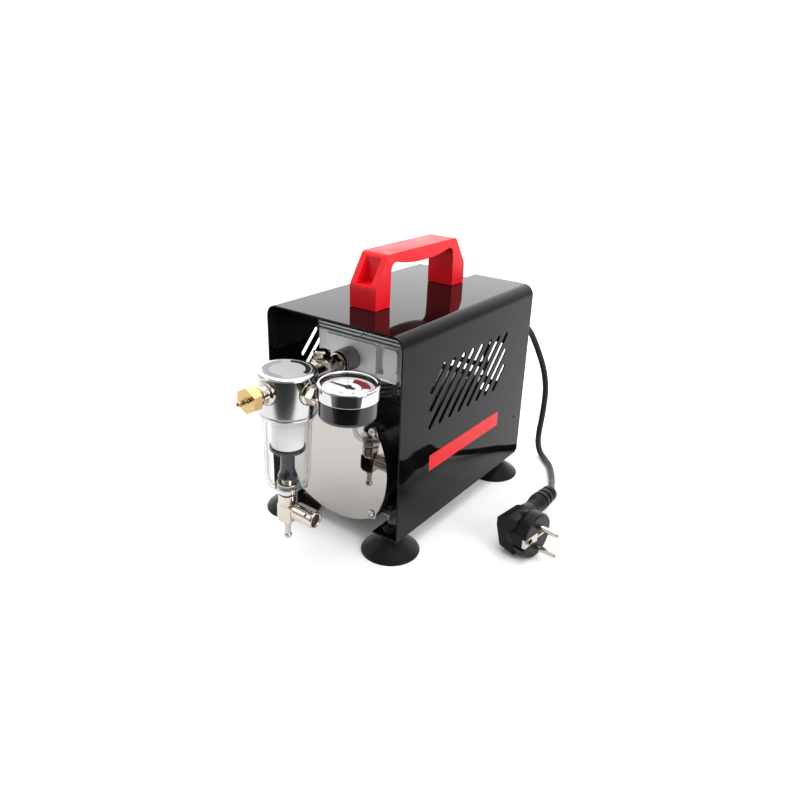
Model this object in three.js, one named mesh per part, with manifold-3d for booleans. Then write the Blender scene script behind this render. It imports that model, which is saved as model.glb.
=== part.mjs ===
// Airbrush compressor: a small piston compressor in an open sheet housing, with a moisture trap
// and a pressure gauge in front. Millimetres, +Z up, -Y towards the open front, +X to the gauge side.
// Everything is drawn in the housing's frame: x = 0 is its mid plane, y = 0 its front edge and
// z = 0 the underside of its bottom flanges. One outer group then moves the origin to the
// bottom centre of the whole object.
import * as THREE from 'three';
import { mergeVertices } from 'three/addons/utils/BufferGeometryUtils.js';
import Module from 'manifold-3d';

const wasm = await Module();
wasm.setup();

// ---------------------------------------------------------------- driving dimensions
const gap = 0.3;                       // clearance between neighbouring pieces
const housing = { width: 135, length: 204, height: 170, sheet: 1.2, bend: 9.8, flange: 24.6, corner: 5 };
const foot = { height: 16.8, rim: 24.1, x: 54, frontY: 10.4, rearY: 180.6, neck: 4.2 };
const slots = {
  count: 10, pitch: 14.5, width: 4.6, y0: 9, lowZ: 85, highZ: 137, frontY: 38, rearY: 160, run: 0.96,
};
const handle = { middleY: 103.25, half: 65.25, width: 26, kneeZ: 188.5, topZ: 212.6, shoulder: 49.3, inner: 46.3 };
const crank = { z: 49.3, y: 60, throw: 3, pin: 3, rodBore: 9.5, rodLength: 59.7 };
const cover = { frontY: 6, thickness: 1.6, half: 51.7, bulge: 70, lug: 37, lugRadius: 5 };
const cylinder = { bore: 14.3, deckZ: 100, topZ: 117 };
const head = { half: 41.6, frontY: 31.5, rearY: 88, lowZ: 120.3, topZ: 148.3, studX: 33, studY: 21 };
const motor = { frontY: 98, rearY: 150, size: 80, rotor: 21.5, shaft: 4 };
const bearing = { inner: motor.shaft + gap, outer: 11, length: 5.2 };
const air = { x: -4.5, z: 131 };       // outlet of the cylinder head
const trap = { x: -1.2, y: -46.1, radius: 22, topZ: 144.3, lowZ: 110.5, portZ: 132, spot: 19.5, lean: 2.2 };
const drain = { blockLow: 14.9, blockTop: 30.9, knobZ: 28.2, knobStart: 9.3, knobEnd: 29.7 };
const outlet = { nutBack: 33, nutFront: 40, nippleEnd: 47.5 };
const gauge = { x: 55.4, y: trap.y, baseZ: 125.8, bezel: 21.5, caseRadius: 20.4, bezelLow: 15.1, top: 25.1 };
const panel = { y: 191, thickness: 1.2, glandX: 48, glandZ: 124, switchX: 12, switchZ: 124 };
const cord = { radius: 3, exitY: 214.5 };
const plug = { x: 130.5, y: 78, radius: 19.4, yaw: -8, faceX: 23, earthY: -10 };
const plugRelief = { x: -1.5, end: 67, turn: 6 };
const floorZ = -foot.height;

// ---------------------------------------------------------------- materials
function surface(colour, roughness, metalness) {
  return new THREE.MeshStandardMaterial({ color: colour, roughness, metalness });
}
const enamel = () => surface(0x0c0c0d, 0.12, 0.0);
const redPlastic = () => surface(0xd4121f, 0.35, 0.0);
const rubber = () => surface(0x1b1c1d, 0.6, 0.0);
const blackPlastic = () => surface(0x151516, 0.45, 0.0);
const blackCasting = () => surface(0x1a1a1c, 0.5, 0.3);
const mirrorSteel = () => surface(0xc9c5c0, 0.08, 1.0);
const steel = () => surface(0xa9abae, 0.35, 1.0);
const darkSteel = () => surface(0x4a4b4f, 0.4, 1.0);
const greyCasting = () => surface(0xaeb0b3, 0.5, 0.6);
const aluminium = () => surface(0xc6c8cc, 0.22, 1.0);
const nickel = () => surface(0xbdb2a4, 0.18, 1.0);
const chrome = () => surface(0xe0e2e5, 0.06, 1.0);
const brass = () => surface(0xb98f4a, 0.28, 1.0);
const copper = () => surface(0xa8592c, 0.4, 0.9);

// ---------------------------------------------------------------- solids
// A closed solid from any three.js geometry: seams welded, slivers dropped, faces outward.
function solid(geometry) {
  geometry.deleteAttribute('normal');
  geometry.deleteAttribute('uv');
  const welded = mergeVertices(geometry, 1e-4);
  const position = welded.getAttribute('position').array;
  const index = welded.index.array;
  const corner = (k) => new THREE.Vector3().fromArray(position, index[k] * 3);
  const triangles = [];
  let volume = 0;
  for (let k = 0; k < index.length; k += 3) {
    const [a, b, c] = [index[k], index[k + 1], index[k + 2]];
    if (a === b || b === c || c === a) continue;
    triangles.push(a, b, c);
    volume += corner(k).dot(corner(k + 1).cross(corner(k + 2)));
  }
  if (volume < 0) triangles.reverse();
  return new wasm.Manifold(new wasm.Mesh({
    numProp: 3,
    vertProperties: new Float32Array(position),
    triVerts: new Uint32Array(triangles),
  }));
}

const joined = (...parts) => parts.reduce((whole, part) => whole.add(part));
const cut = (body, ...tools) => tools.reduce((rest, tool) => rest.subtract(tool), body);

function piece(name, body, material) {
  const mesh = body.getMesh();
  const geometry = new THREE.BufferGeometry();
  geometry.setAttribute('position', new THREE.BufferAttribute(new Float32Array(mesh.vertProperties), 3));
  geometry.setIndex(new THREE.BufferAttribute(new Uint32Array(mesh.triVerts), 1));
  const made = new THREE.Mesh(geometry, material);
  made.name = name;
  return made;
}

// Turns what is drawn along Z so that it points along the named axis.
function aim(geometry, axis) {
  if (axis === 'x') return geometry.rotateY(Math.PI / 2);
  if (axis === 'y') return geometry.rotateX(-Math.PI / 2);
  if (axis === '-y') return geometry.rotateX(Math.PI / 2);
  return geometry;
}

// A turned body: the profile lists [radius, height] along the axis and closes on itself or on the axis.
function turned(profile, sides = 24, axis = 'z', at = [0, 0, 0]) {
  const points = profile.map(([radius, height]) => new THREE.Vector2(radius, height));
  const onAxis = profile[0][0] === 0 && profile[profile.length - 1][0] === 0;
  if (!onAxis) points.push(points[0].clone());
  const geometry = new THREE.LatheGeometry(points, sides).rotateX(Math.PI / 2);
  return solid(aim(geometry, axis).translate(...at));
}

const rod = (radius, from, to, sides = 16, axis = 'z', at = [0, 0, 0]) =>
  turned([[0, from], [radius, from], [radius, to], [0, to]], sides, axis, at);

const ring = (inner, outer, from, to, sides = 24, axis = 'z', at = [0, 0, 0]) =>
  turned([[inner, from], [outer, from], [outer, to], [inner, to]], sides, axis, at);

function box(x0, x1, y0, y1, z0, z1) {
  const geometry = new THREE.BoxGeometry(x1 - x0, y1 - y0, z1 - z0);
  return solid(geometry.translate((x0 + x1) / 2, (y0 + y1) / 2, (z0 + z1) / 2));
}

function extruded(shape, depth, smooth = 4) {
  return new THREE.ExtrudeGeometry(shape, { depth, bevelEnabled: false, curveSegments: smooth });
}

// Prisms along each axis. An outline for X is drawn in (y, z) and one for Y in (x, z).
const alongX = new THREE.Matrix4().set(0, 0, 1, 0, 1, 0, 0, 0, 0, 1, 0, 0, 0, 0, 0, 1);
const prismX = (shape, x0, x1, smooth) =>
  solid(extruded(shape, x1 - x0, smooth).applyMatrix4(alongX).translate(x0, 0, 0));
const prismY = (shape, y0, y1, smooth) =>
  solid(extruded(shape, y1 - y0, smooth).rotateX(Math.PI / 2).translate(0, y1, 0));
const prismZ = (shape, z0, z1, smooth) => solid(extruded(shape, z1 - z0, smooth).translate(0, 0, z0));

function polygon(points) {
  return new THREE.Shape(points.map(([a, b]) => new THREE.Vector2(a, b)));
}

function roundedBox(a0, b0, a1, b1, radius) {
  const shape = new THREE.Shape();
  shape.absarc(a1 - radius, b1 - radius, radius, 0, Math.PI / 2);
  shape.absarc(a0 + radius, b1 - radius, radius, Math.PI / 2, Math.PI);
  shape.absarc(a0 + radius, b0 + radius, radius, Math.PI, 1.5 * Math.PI);
  shape.absarc(a1 - radius, b0 + radius, radius, 1.5 * Math.PI, 2 * Math.PI);
  return shape;
}

function hexagon(acrossFlats, turn = 0) {
  const radius = acrossFlats / Math.sqrt(3);
  const corners = Array.from({ length: 6 }, (_, k) => turn + (k * Math.PI) / 3);
  return polygon(corners.map((angle) => [radius * Math.cos(angle), radius * Math.sin(angle)]));
}

const hexBar = (acrossFlats, from, to, axis, at, turn = 0) =>
  solid(aim(extruded(hexagon(acrossFlats, turn), to - from).translate(0, 0, from), axis).translate(...at));

// ---------------------------------------------------------------- housing
function shellSection() {
  const { width, height, sheet, bend, flange } = housing;
  const side = width / 2;
  const inner = bend - sheet;
  const shape = new THREE.Shape();
  shape.moveTo(flange - side, 0);
  shape.lineTo(-side, 0);
  shape.absarc(-side + bend, height - bend, bend, Math.PI, Math.PI / 2, true);
  shape.absarc(side - bend, height - bend, bend, Math.PI / 2, 0, true);
  shape.lineTo(side, 0);
  shape.lineTo(side - flange, 0);
  shape.lineTo(side - flange, sheet);
  shape.lineTo(side - sheet, sheet);
  shape.absarc(side - bend, height - bend, inner, 0, Math.PI / 2);
  shape.absarc(-side + bend, height - bend, inner, Math.PI / 2, Math.PI);
  shape.lineTo(-side + sheet, sheet);
  shape.lineTo(flange - side, sheet);
  return shape;
}

function slotCutter(number) {
  const radius = slots.width / 2;
  const startY = slots.y0 + number * slots.pitch;
  const inFrame = (z) => startY + (z - slots.lowZ) * slots.run;
  const heightAt = (y) => slots.lowZ + (y - startY) / slots.run;
  const low = Math.max(slots.lowZ, heightAt(slots.frontY)) + radius;
  const high = Math.min(slots.highZ, heightAt(slots.rearY)) - radius;
  const lean = Math.atan2(1, slots.run);
  const shape = new THREE.Shape();
  shape.absarc(inFrame(high), high, radius, lean - Math.PI / 2, lean + Math.PI / 2);
  shape.absarc(inFrame(low), low, radius, lean + Math.PI / 2, lean + 1.5 * Math.PI);
  return prismX(shape, -housing.width, housing.width, 2);
}

function housingShell() {
  const { width, length, height, corner } = housing;
  const sheetBody = prismY(shellSection(), 0, length, 4);
  const outline = new THREE.Shape();
  outline.moveTo(0, -1);
  outline.lineTo(0, height + 1);
  outline.lineTo(length, height + 1);
  outline.lineTo(length, corner);
  outline.absarc(length - corner, corner, corner, 0, -Math.PI / 2, true);
  outline.lineTo(length - corner, -1);
  const cutters = Array.from({ length: slots.count }, (_, k) => slotCutter(k));
  const footHoles = footPlaces().map(([x, y]) => rod(foot.neck + 2 * gap, -1, 3, 8, 'z', [x, y, 0]));
  const sideHole = rod(1.3, -width, width, 6, 'x', [0, 189, 43.5]);
  const screwHoles = [-1, 1].map((end) => rod(2.2, height - 3, height + 1, 8, 'z', [0, legMiddle(end), 0]));
  const rounded = sheetBody.intersect(prismX(outline, -width, width, 3));
  return piece('housing_shell', cut(rounded, ...cutters, ...footHoles, ...screwHoles, sideHole), enamel());
}

const legMiddle = (end) => handle.middleY + (end * (handle.half + handle.inner)) / 2;

const footPlaces = () => [
  [-foot.x, foot.frontY],
  [foot.x, foot.frontY],
  [-foot.x, foot.rearY],
  [foot.x, foot.rearY],
];

// A thin suction cup with a collar under the flange and a button above it.
function feet() {
  const { height, rim, neck } = foot;
  const cup = turned([
    [0, -9.4], [13, -10.8], [22.9, -height], [rim, -height], [rim, 1.3 - height],
    [14, -7.6], [8.6, -gap], [neck, -gap], [neck, 1.5], [6.4, 1.5], [5, 4.2], [0, 4.4],
  ], 16);
  const names = ['foot_front_left', 'foot_front_right', 'foot_rear_left', 'foot_rear_right'];
  return footPlaces().map(([x, y], k) => {
    const made = piece(names[k], cup, rubber());
    made.position.set(x, y, 0);
    return made;
  });
}

function handlePiece() {
  const { middleY, half, width, kneeZ, topZ, shoulder, inner } = handle;
  const baseZ = housing.height + gap;
  const shape = new THREE.Shape();
  const y = (offset) => middleY + offset;
  shape.moveTo(y(-half), baseZ);
  shape.lineTo(y(-inner), baseZ);
  shape.lineTo(y(-inner + 0.8), 198);
  shape.quadraticCurveTo(y(-inner + 1.6), 205.4, y(-inner + 8), 205.2);
  shape.quadraticCurveTo(y(0), 196.6, y(inner - 8), 205.2);
  shape.quadraticCurveTo(y(inner - 1.6), 205.4, y(inner - 0.8), 198);
  shape.lineTo(y(inner), baseZ);
  shape.lineTo(y(half), baseZ);
  shape.lineTo(y(half), kneeZ - 3);
  shape.quadraticCurveTo(y(half), kneeZ, y(half - 1.7), kneeZ + 2.6);
  shape.lineTo(y(shoulder + 1.6), topZ - 2.5);
  shape.quadraticCurveTo(y(shoulder), topZ, y(shoulder - 3), topZ);
  shape.lineTo(y(-shoulder + 3), topZ);
  shape.quadraticCurveTo(y(-shoulder), topZ, y(-shoulder - 1.6), topZ - 2.5);
  shape.lineTo(y(-half + 1.7), kneeZ + 2.6);
  shape.quadraticCurveTo(y(-half), kneeZ, y(-half), kneeZ - 3);
  const pocketFloor = kneeZ + 0.4;
  const pockets = [-1, 1].map((end) => {
    const wall = middleY + end * (half - 13.8);
    const open = middleY + end * (half + 2);
    return box(-7.5, 7.5, Math.min(wall, open), Math.max(wall, open), pocketFloor, topZ - 2.2);
  });
  const screwWells = [-1, 1].map((end) => rod(2, baseZ - 1, baseZ + 12, 8, 'z', [0, legMiddle(end), 0]));
  return piece('handle', cut(prismX(shape, -width / 2, width / 2, 4), ...pockets, ...screwWells), redPlastic());
}

// The sheet at the back: air slots behind the fan, three windows above them, the switch and the cord gland.
function rearPanel() {
  const { y, thickness, glandX, glandZ, switchX, switchZ } = panel;
  const side = housing.width / 2 - housing.sheet - gap;
  const top = housing.height - housing.sheet - gap;
  const sheet = prismY(roundedBox(-side, 5, side, top, housing.bend - housing.sheet), y, y + thickness, 2);
  const rows = Array.from({ length: 5 }, (_, k) => crank.z - 30 + 15 * k);
  const vents = rows.map((z) => {
    const reach = Math.sqrt(42 ** 2 - (z - crank.z) ** 2);
    return prismY(roundedBox(-reach, z - 4, reach, z + 4, 3.9), y - 1, y + 3, 2);
  });
  const windows = [[-60.5, 74, -33.5], [-28, 89, 28], [33.5, 74, 60.5]].map(([left, low, right]) =>
    prismY(roundedBox(left, low, right, 113, 4), y - 1, y + 3, 2));
  const glandHole = rod(6.3, y - 1, y + 3, 12, 'y', [glandX, 0, glandZ]);
  const switchHole = box(switchX - 9.8, switchX + 9.8, y - 1, y + 3, switchZ - 6.8, switchZ + 6.8);
  return piece('rear_panel', cut(sheet, ...vents, ...windows, glandHole, switchHole), enamel());
}

// A frame that snaps into the panel and the rocker that tilts in it about the X axis.
function powerSwitch() {
  const { y, thickness, switchX: x, switchZ: z } = panel;
  const face = y + thickness + gap;
  const flange = box(x - 11.5, x + 11.5, face, face + 1.5, z - 8.5, z + 8.5);
  const body = box(x - 9.5, x + 9.5, y - 13, face, z - 6.5, z + 6.5);
  const well = box(x - 8, x + 8, y - 8, face + 3, z - 5.2, z + 5.2);
  const frame = piece('switch_frame', cut(joined(flange, body), well), blackPlastic());
  const pivotY = y + 0.5;
  const outline = [[1.9, -4.5], [1.7, 0], [3.6, 3.4], [-3, 3.9], [-3.5, 0], [-3, -3.9]];
  const section = polygon(outline.map(([forward, up]) => [pivotY + forward, z + up]));
  const rocker = piece('rocker_switch', prismX(section, x - 7.7, x + 7.7), blackPlastic());
  return [frame, rocker];
}

// ---------------------------------------------------------------- mounting rails
function rails() {
  const thickness = 1.2;
  const top = 9;
  const section = (side) => polygon([
    [34, top - thickness], [46, top - thickness], [46, 1.5], [63, 1.5], [63, 1.5 + thickness],
    [46 + thickness, 1.5 + thickness], [46 + thickness, top], [34, top],
  ].map(([x, z]) => [side * x, z]));
  const make = (name, side) => piece(name, prismY(section(side), 17, 170), greyCasting());
  return [make('mount_rail_left', -1), make('mount_rail_right', 1)];
}

// ---------------------------------------------------------------- compressor
// The four corners that screws, posts and studs are set out on.
const quarters = [[-1, -1], [1, -1], [-1, 1], [1, 1]];

// A square with bulging sides and a round lug at each corner, centred on the crankshaft.
function coverOutline(offset = 0) {
  const { half, bulge, lug, lugRadius } = cover;
  const big = bulge + offset;
  const small = lugRadius + offset;
  const centre = bulge - half;
  const between = Math.hypot(lug + centre, lug);
  const bearingAngle = Math.atan2(lug, lug + centre);
  const atBig = bearingAngle - Math.acos((big ** 2 + between ** 2 - small ** 2) / (2 * big * between));
  const meet = [big * Math.cos(atBig) - centre, big * Math.sin(atBig)];
  const atLug = Math.atan2(meet[1] - lug, meet[0] - lug);
  const shape = new THREE.Shape();
  for (let side = 0; side < 4; side += 1) {
    const turn = (side * Math.PI) / 2;
    const place = (x, z) => [
      x * Math.cos(turn) - z * Math.sin(turn),
      x * Math.sin(turn) + z * Math.cos(turn) + crank.z,
    ];
    shape.absarc(...place(-centre, 0), big, turn - atBig, turn + atBig);
    shape.absarc(...place(lug, lug), small, turn + atLug, turn + Math.PI / 2 - atLug);
  }
  return shape;
}

const lugPlaces = () => quarters.map(([a, b]) => [a * cover.lug, crank.z + b * cover.lug]);

function crankcase() {
  const front = cover.frontY + cover.thickness + gap;
  const flange = prismY(coverOutline(-0.6), front, front + 8, 3);
  const drum = turned([[0, front + 7], [50, front + 7], [46, 60], [44, 84], [0, 84]], 20, 'y', [0, 0, crank.z]);
  const deck = box(-42, 42, head.frontY - 1, 86, 84, cylinder.deckZ);
  const pads = [box(-46, -20, 22, 80, 9.3, 15), box(20, 46, 22, 80, 9.3, 15)];
  const posts = postPlaces().map(([x, z]) => rod(4, 80, motor.frontY - gap, 6, 'y', [x, 0, z]));
  const chamber = rod(40, front - 1, 78, 20, 'y', [0, 0, crank.z]);
  const throat = rod(16, crank.z, cylinder.deckZ + 1, 14, 'z', [0, crank.y, 0]);
  const seat = rod(bearing.outer + gap, 70, 90, 14, 'y', [0, 0, crank.z]);
  const screwHoles = lugPlaces().map(([x, z]) => rod(2, front - 1, front + 7.6, 6, 'y', [x, 0, z]));
  const studHoles = studPlaces().map(([x, y]) => rod(2.6, 90, 101, 6, 'z', [x, y, 0]));
  const whole = joined(flange, drum, deck, ...pads, ...posts);
  return piece('crankcase', cut(whole, chamber, throat, seat, ...screwHoles, ...studHoles), blackCasting());
}

const postPlaces = () => quarters.map(([a, b]) => [a * 32, crank.z + b * 32]);

function crankcaseCover() {
  const back = cover.frontY + cover.thickness;
  const holes = lugPlaces().map(([x, z]) => rod(2, 0, 20, 6, 'y', [x, 0, z]));
  return piece('crankcase_cover', cut(prismY(coverOutline(), cover.frontY, back, 4), ...holes), mirrorSteel());
}

// Round-headed cross-recess screws, drawn once and set at the four lugs.
function coverScrews() {
  const headBack = -gap;
  const body = turned([
    [0, headBack - 2.4], [2, headBack - 2], [3.4, headBack], [1.5, headBack], [1.5, 8], [0, 8],
  ], 8, 'y');
  const recess = [0, 45].map((turn) => {
    const bar = new THREE.BoxGeometry(3.4, 2.4, 0.8).rotateY(THREE.MathUtils.degToRad(turn * 2 + 45));
    return solid(bar.translate(0, headBack - 2.6, 0));
  });
  const screw = cut(body, ...recess);
  return lugPlaces().map(([x, z], k) => {
    const made = piece(`cover_screw_${k + 1}`, screw, steel());
    made.position.set(x, cover.frontY, z);
    return made;
  });
}

function crankTrain() {
  const discFront = crank.y + 6;
  const disc = rod(16, discFront, discFront + 9, 14, 'y', [0, 0, crank.z]);
  const weight = prismY(roundedBox(-20, crank.z + 2, 20, crank.z + 22, 8), discFront + 1, discFront + 8, 2);
  const pin = rod(crank.pin, crank.y - 6, discFront + 1, 8, 'y', [0, 0, crank.z - crank.throw]);
  const bore = rod(motor.shaft + gap, discFront + 2, discFront + 10, 12, 'y', [0, 0, crank.z]);
  const crankDisc = piece('crank_disc', cut(joined(disc, weight, pin), bore), darkSteel());

  const low = crank.z - crank.throw;
  const pistonZ = low + crank.rodLength - 2;
  const bigEnd = rod(13.6, crank.y - 4, crank.y + 4, 14, 'y', [0, 0, low]);
  const shank = box(-4, 4, crank.y - 3, crank.y + 3, low + 9, pistonZ + 1);
  const piston = turned([
    [0, pistonZ], [13.6, pistonZ], [13.6, pistonZ + 1.2], [12.3, pistonZ + 1.2],
    [12.3, pistonZ + 4.8], [13.6, pistonZ + 4.8], [13.6, pistonZ + 6], [0, pistonZ + 6],
  ], 16, 'z', [0, crank.y, 0]);
  const bigBore = rod(crank.rodBore, crank.y - 9, crank.y + 9, 14, 'y', [0, 0, low]);
  const rodPiece = piece('connecting_rod_piston', cut(joined(bigEnd, shank, piston), bigBore), aluminium());
  const seal = ring(12.7, 13.9, pistonZ + 1.6, pistonZ + 4.4, 16, 'z', [0, crank.y, 0]);
  return [crankDisc, rodPiece, piece('piston_seal', seal, surface(0x3a3733, 0.7, 0))];
}

const studPlaces = () => quarters.map(([a, b]) => [a * head.studX, crank.y + b * head.studY]);

function finnedCylinder() {
  const { bore, deckZ, topZ } = cylinder;
  const floor = deckZ + gap;
  const profile = [[bore, floor], [31, floor], [31, floor + 2.6], [20, floor + 2.6]];
  for (let fin = 0; fin < 2; fin += 1) {
    const z = floor + 5.4 + fin * 4.4;
    profile.push([20, z], [35, z], [35, z + 1.6], [20, z + 1.6]);
  }
  profile.push([20, topZ - 2.6], [37, topZ - 2.6], [37, topZ], [bore, topZ]);
  const body = turned(profile, 20, 'z', [0, crank.y, 0]);
  const studs = studPlaces().map(([x, y]) => rod(3, deckZ - 2, topZ + 1, 6, 'z', [x, y, 0]));
  return piece('cylinder', cut(body, ...studs), darkSteel());
}

function valvePlate() {
  const { half, frontY, rearY, lowZ } = head;
  const low = cylinder.topZ + gap;
  const plate = prismZ(roundedBox(-half + 1, frontY + 1, half - 1, rearY - 1, 6), low, lowZ - gap, 2);
  const studs = studPlaces().map(([x, y]) => rod(2.6, low - 1, lowZ + 1, 6, 'z', [x, y, 0]));
  const ports = [-5, 5].map((x) => rod(2.4, low - 1, lowZ + 1, 6, 'z', [x, crank.y, 0]));
  return piece('valve_plate', cut(plate, ...studs, ...ports), steel());
}

// Grey head block: two raised front pads with a groove between them, flat cooling fins on top
// and a round outlet boss pointing forward.
function cylinderHead() {
  const { half, frontY, rearY, lowZ, topZ } = head;
  const block = prismZ(roundedBox(-half, frontY, half, rearY, 3), lowZ, topZ, 2);
  const pad = prismY(roundedBox(air.x - 27.5, lowZ + 1, air.x + 25.2, topZ - 1.6, 3), frontY - 1.6, frontY + 1, 2);
  const sidePad = prismY(roundedBox(27, lowZ + 7, half - 0.6, topZ - 1.6, 3), frontY - 1.6, frontY + 1, 2);
  const groove = box(air.x + 25.6, 26.6, frontY - 3, frontY + 5, lowZ + 3, topZ - 1.2);
  const core = box(-20, 20, frontY + 10, rearY - 8, topZ - 1, topZ + 5);
  const fins = [0, 1].map((k) => {
    const z = topZ + 1.6 + 2.9 * k;
    const plate = box(-half + 1, half, frontY + 1, rearY - 1, z, z + 1.2);
    return plate.subtract(box(3 + 2.4 * k, 4.6 + 2.4 * k, frontY, frontY + 8, z - 1, z + 3));
  });
  const boss = rod(9.6, -frontY - 1, 15 - frontY, 20, '-y', [air.x, 0, air.z]);
  const outlet = rod(5.3, 7 - frontY, 20 - frontY, 10, '-y', [air.x, 0, air.z]);
  const chamber = rod(12, lowZ - 1, lowZ + 15, 12, 'z', [0, crank.y, 0]);
  const duct = rod(3, -crank.y, 8 - frontY, 6, '-y', [air.x, 0, air.z]);
  const studs = studPlaces().map(([x, y]) => rod(2.6, lowZ - 1, topZ + 1, 6, 'z', [x, y, 0]));
  const wells = studPlaces().map(([x, y]) => rod(4.6, topZ, topZ + 7, 8, 'z', [x, y, 0]));
  const whole = joined(block, pad, sidePad, core, ...fins, boss);
  return piece('cylinder_head', cut(whole, groove, outlet, chamber, duct, ...studs, ...wells), greyCasting());
}

// Long cap screws through head, valve plate and cylinder flange into the crankcase deck.
function headScrews() {
  const { topZ } = head;
  const body = turned([
    [0, 92], [2, 92], [2, topZ + gap], [3.6, topZ + gap], [3.6, topZ + 4.2],
    [0, topZ + 4.2],
  ], 8);
  const screw = cut(body, hexBar(3, topZ + 1.8, topZ + 5, 'z', [0, 0, 0]));
  return studPlaces().map(([x, y], k) => {
    const made = piece(`head_screw_${k + 1}`, screw, steel());
    made.position.set(x, y, 0);
    return made;
  });
}

// ---------------------------------------------------------------- motor
const windingPlaces = () => Array.from({ length: 8 }, (_, k) => {
  const angle = ((k + 0.5) * Math.PI) / 4;
  return [27 * Math.cos(angle), crank.z + 27 * Math.sin(angle)];
});

function motorPieces() {
  const { frontY, rearY, size, rotor, shaft } = motor;
  const half = size / 2;
  const outline = roundedBox(-half, crank.z - half, half, crank.z + half, 12);
  const around = [0, 0, crank.z];
  const stack = cut(
    prismY(outline, frontY, rearY, 2),
    rod(rotor + 0.7, frontY - 1, rearY + 1, 18, 'y', around),
    ...windingPlaces().map(([x, z]) => rod(3.9, frontY - 1, rearY + 1, 6, 'y', [x, 0, z])),
  );
  const coilSection = (from, to) => [[23.5, from], [32, from], [34, from + 2], [34, to], [23.5, to]];
  const winding = joined(
    turned(coilSection(frontY - 10, frontY - gap), 18, 'y', around),
    turned(coilSection(-rearY - 10, -rearY - gap), 18, '-y', around),
    ...windingPlaces().map(([x, z]) => rod(3, frontY - 4, rearY + 4, 6, 'y', [x, 0, z])),
  );
  const core = ring(shaft + gap, rotor, frontY + 1, rearY - 1, 18, 'y', around);
  const spindle = turned([
    [0, crank.y + 8.4], [shaft - 0.5, crank.y + 8.4], [shaft, crank.y + 9], [shaft, 187], [0, 187],
  ], 12, 'y', around);
  const race = (y0) => ring(bearing.inner, bearing.outer, y0, y0 + bearing.length, 14, 'y', around);
  return [
    piece('motor_stator', stack, darkSteel()),
    piece('motor_winding', winding, copper()),
    piece('rotor_core', core, steel()),
    piece('motor_shaft', spindle, steel()),
    piece('bearing_front', race(78.4), steel()),
    piece('bearing_rear', race(163.4), steel()),
    endBell(),
    coolingFan(),
  ];
}

function endBell() {
  const half = motor.size / 2;
  const plate = prismY(roundedBox(-half, crank.z - half, half, crank.z + half, 12), 163, 169, 2);
  const posts = postPlaces().map(([x, z]) => rod(4, motor.rearY + gap, 164, 6, 'y', [x, 0, z]));
  const seat = rod(bearing.outer + gap, 162, 170, 14, 'y', [0, 0, crank.z]);
  const windows = [0, 1, 2, 3].map((k) => {
    const angle = (k * Math.PI) / 2;
    return rod(8.5, 162, 170, 8, 'y', [24.5 * Math.cos(angle), 0, crank.z + 24.5 * Math.sin(angle)]);
  });
  return piece('motor_end_bell', cut(joined(plate, ...posts), seat, ...windows), aluminium());
}

// Seven pitched blades on a hub.
function coolingFan() {
  const hub = ring(motor.shaft + gap, 9, 171.5, 186, 12, 'y', [0, 0, crank.z]);
  const blades = Array.from({ length: 7 }, (_, k) => {
    const blade = new THREE.BoxGeometry(30, 1.6, 16);
    blade.rotateX(THREE.MathUtils.degToRad(55)).translate(22.5, 0, 0);
    blade.rotateY((k * 2 * Math.PI) / 7).translate(0, 179, crank.z);
    return solid(blade);
  });
  return piece('cooling_fan', joined(hub, ...blades), surface(0xb9bbb6, 0.5, 0));
}

// ---------------------------------------------------------------- air line and moisture trap
function airLine() {
  const at = [air.x, 0, air.z];
  const nutFront = -14.6;
  const fitting = cut(
    joined(
      rod(5, -22, nutFront, 8, '-y', at),
      turned([
        [0, nutFront - 1.6], [8.8, nutFront - 1.6], [9.2, nutFront], [8.4, nutFront + 2.6], [0, nutFront + 2.6],
      ], 16, '-y', at),
      hexBar(14, nutFront + 2.6, nutFront + 9, '-y', at, Math.PI / 6),
      rod(5.2, nutFront + 9, -1, 8, '-y', at),
    ),
    rod(3, -30, 0, 6, '-y', at),
  );
  const rear = trap.spot + gap;
  const teeReach = -9 - trap.y;
  const fromTrap = [trap.x, trap.y, trap.portZ];
  const tee = joined(
    turned([[0, -4.8], [8.2, -4.8], [8.2, 10.4], [7.4, 12], [0, 12]], 14, '-y', at),
    hexBar(15, air.z, air.z + 8, 'z', [air.x, -5, 0]),
    rod(5.6, rear + 5, teeReach, 8, 'y', fromTrap),
    turned([[0, rear], [8.8, rear], [8.8, rear + 2.6], [7, rear + 5.6], [0, rear + 5.6]], 14, 'y', fromTrap),
  );
  const teeBore = joined(
    rod(5.8, -6, -gap, 8, '-y', at),
    rod(3, rear - 1, teeReach + 3, 6, 'y', fromTrap),
    rod(3.9, air.z, air.z + 9, 6, 'z', [air.x, -5, 0]),
  );
  const capLow = air.z + 8 + gap;
  const cap = joined(
    rod(3, capLow - 4, capLow + 1, 6, 'z', [air.x, -5, 0]),
    rod(8, capLow, capLow + 1.2, 12, 'z', [air.x, -5, 0]),
    hexBar(13, capLow + 1.2, capLow + 6, 'z', [air.x, -5, 0], 0.3),
    turned([[0, capLow + 6], [5.8, capLow + 6], [4.6, capLow + 7.4], [0, capLow + 7.4]], 8, 'z', [air.x, -5, 0]),
  );
  return [
    piece('outlet_fitting', fitting, nickel()),
    piece('tee_body', tee.subtract(teeBore), nickel()),
    piece('tee_plug', cap, nickel()),
  ];
}

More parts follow.
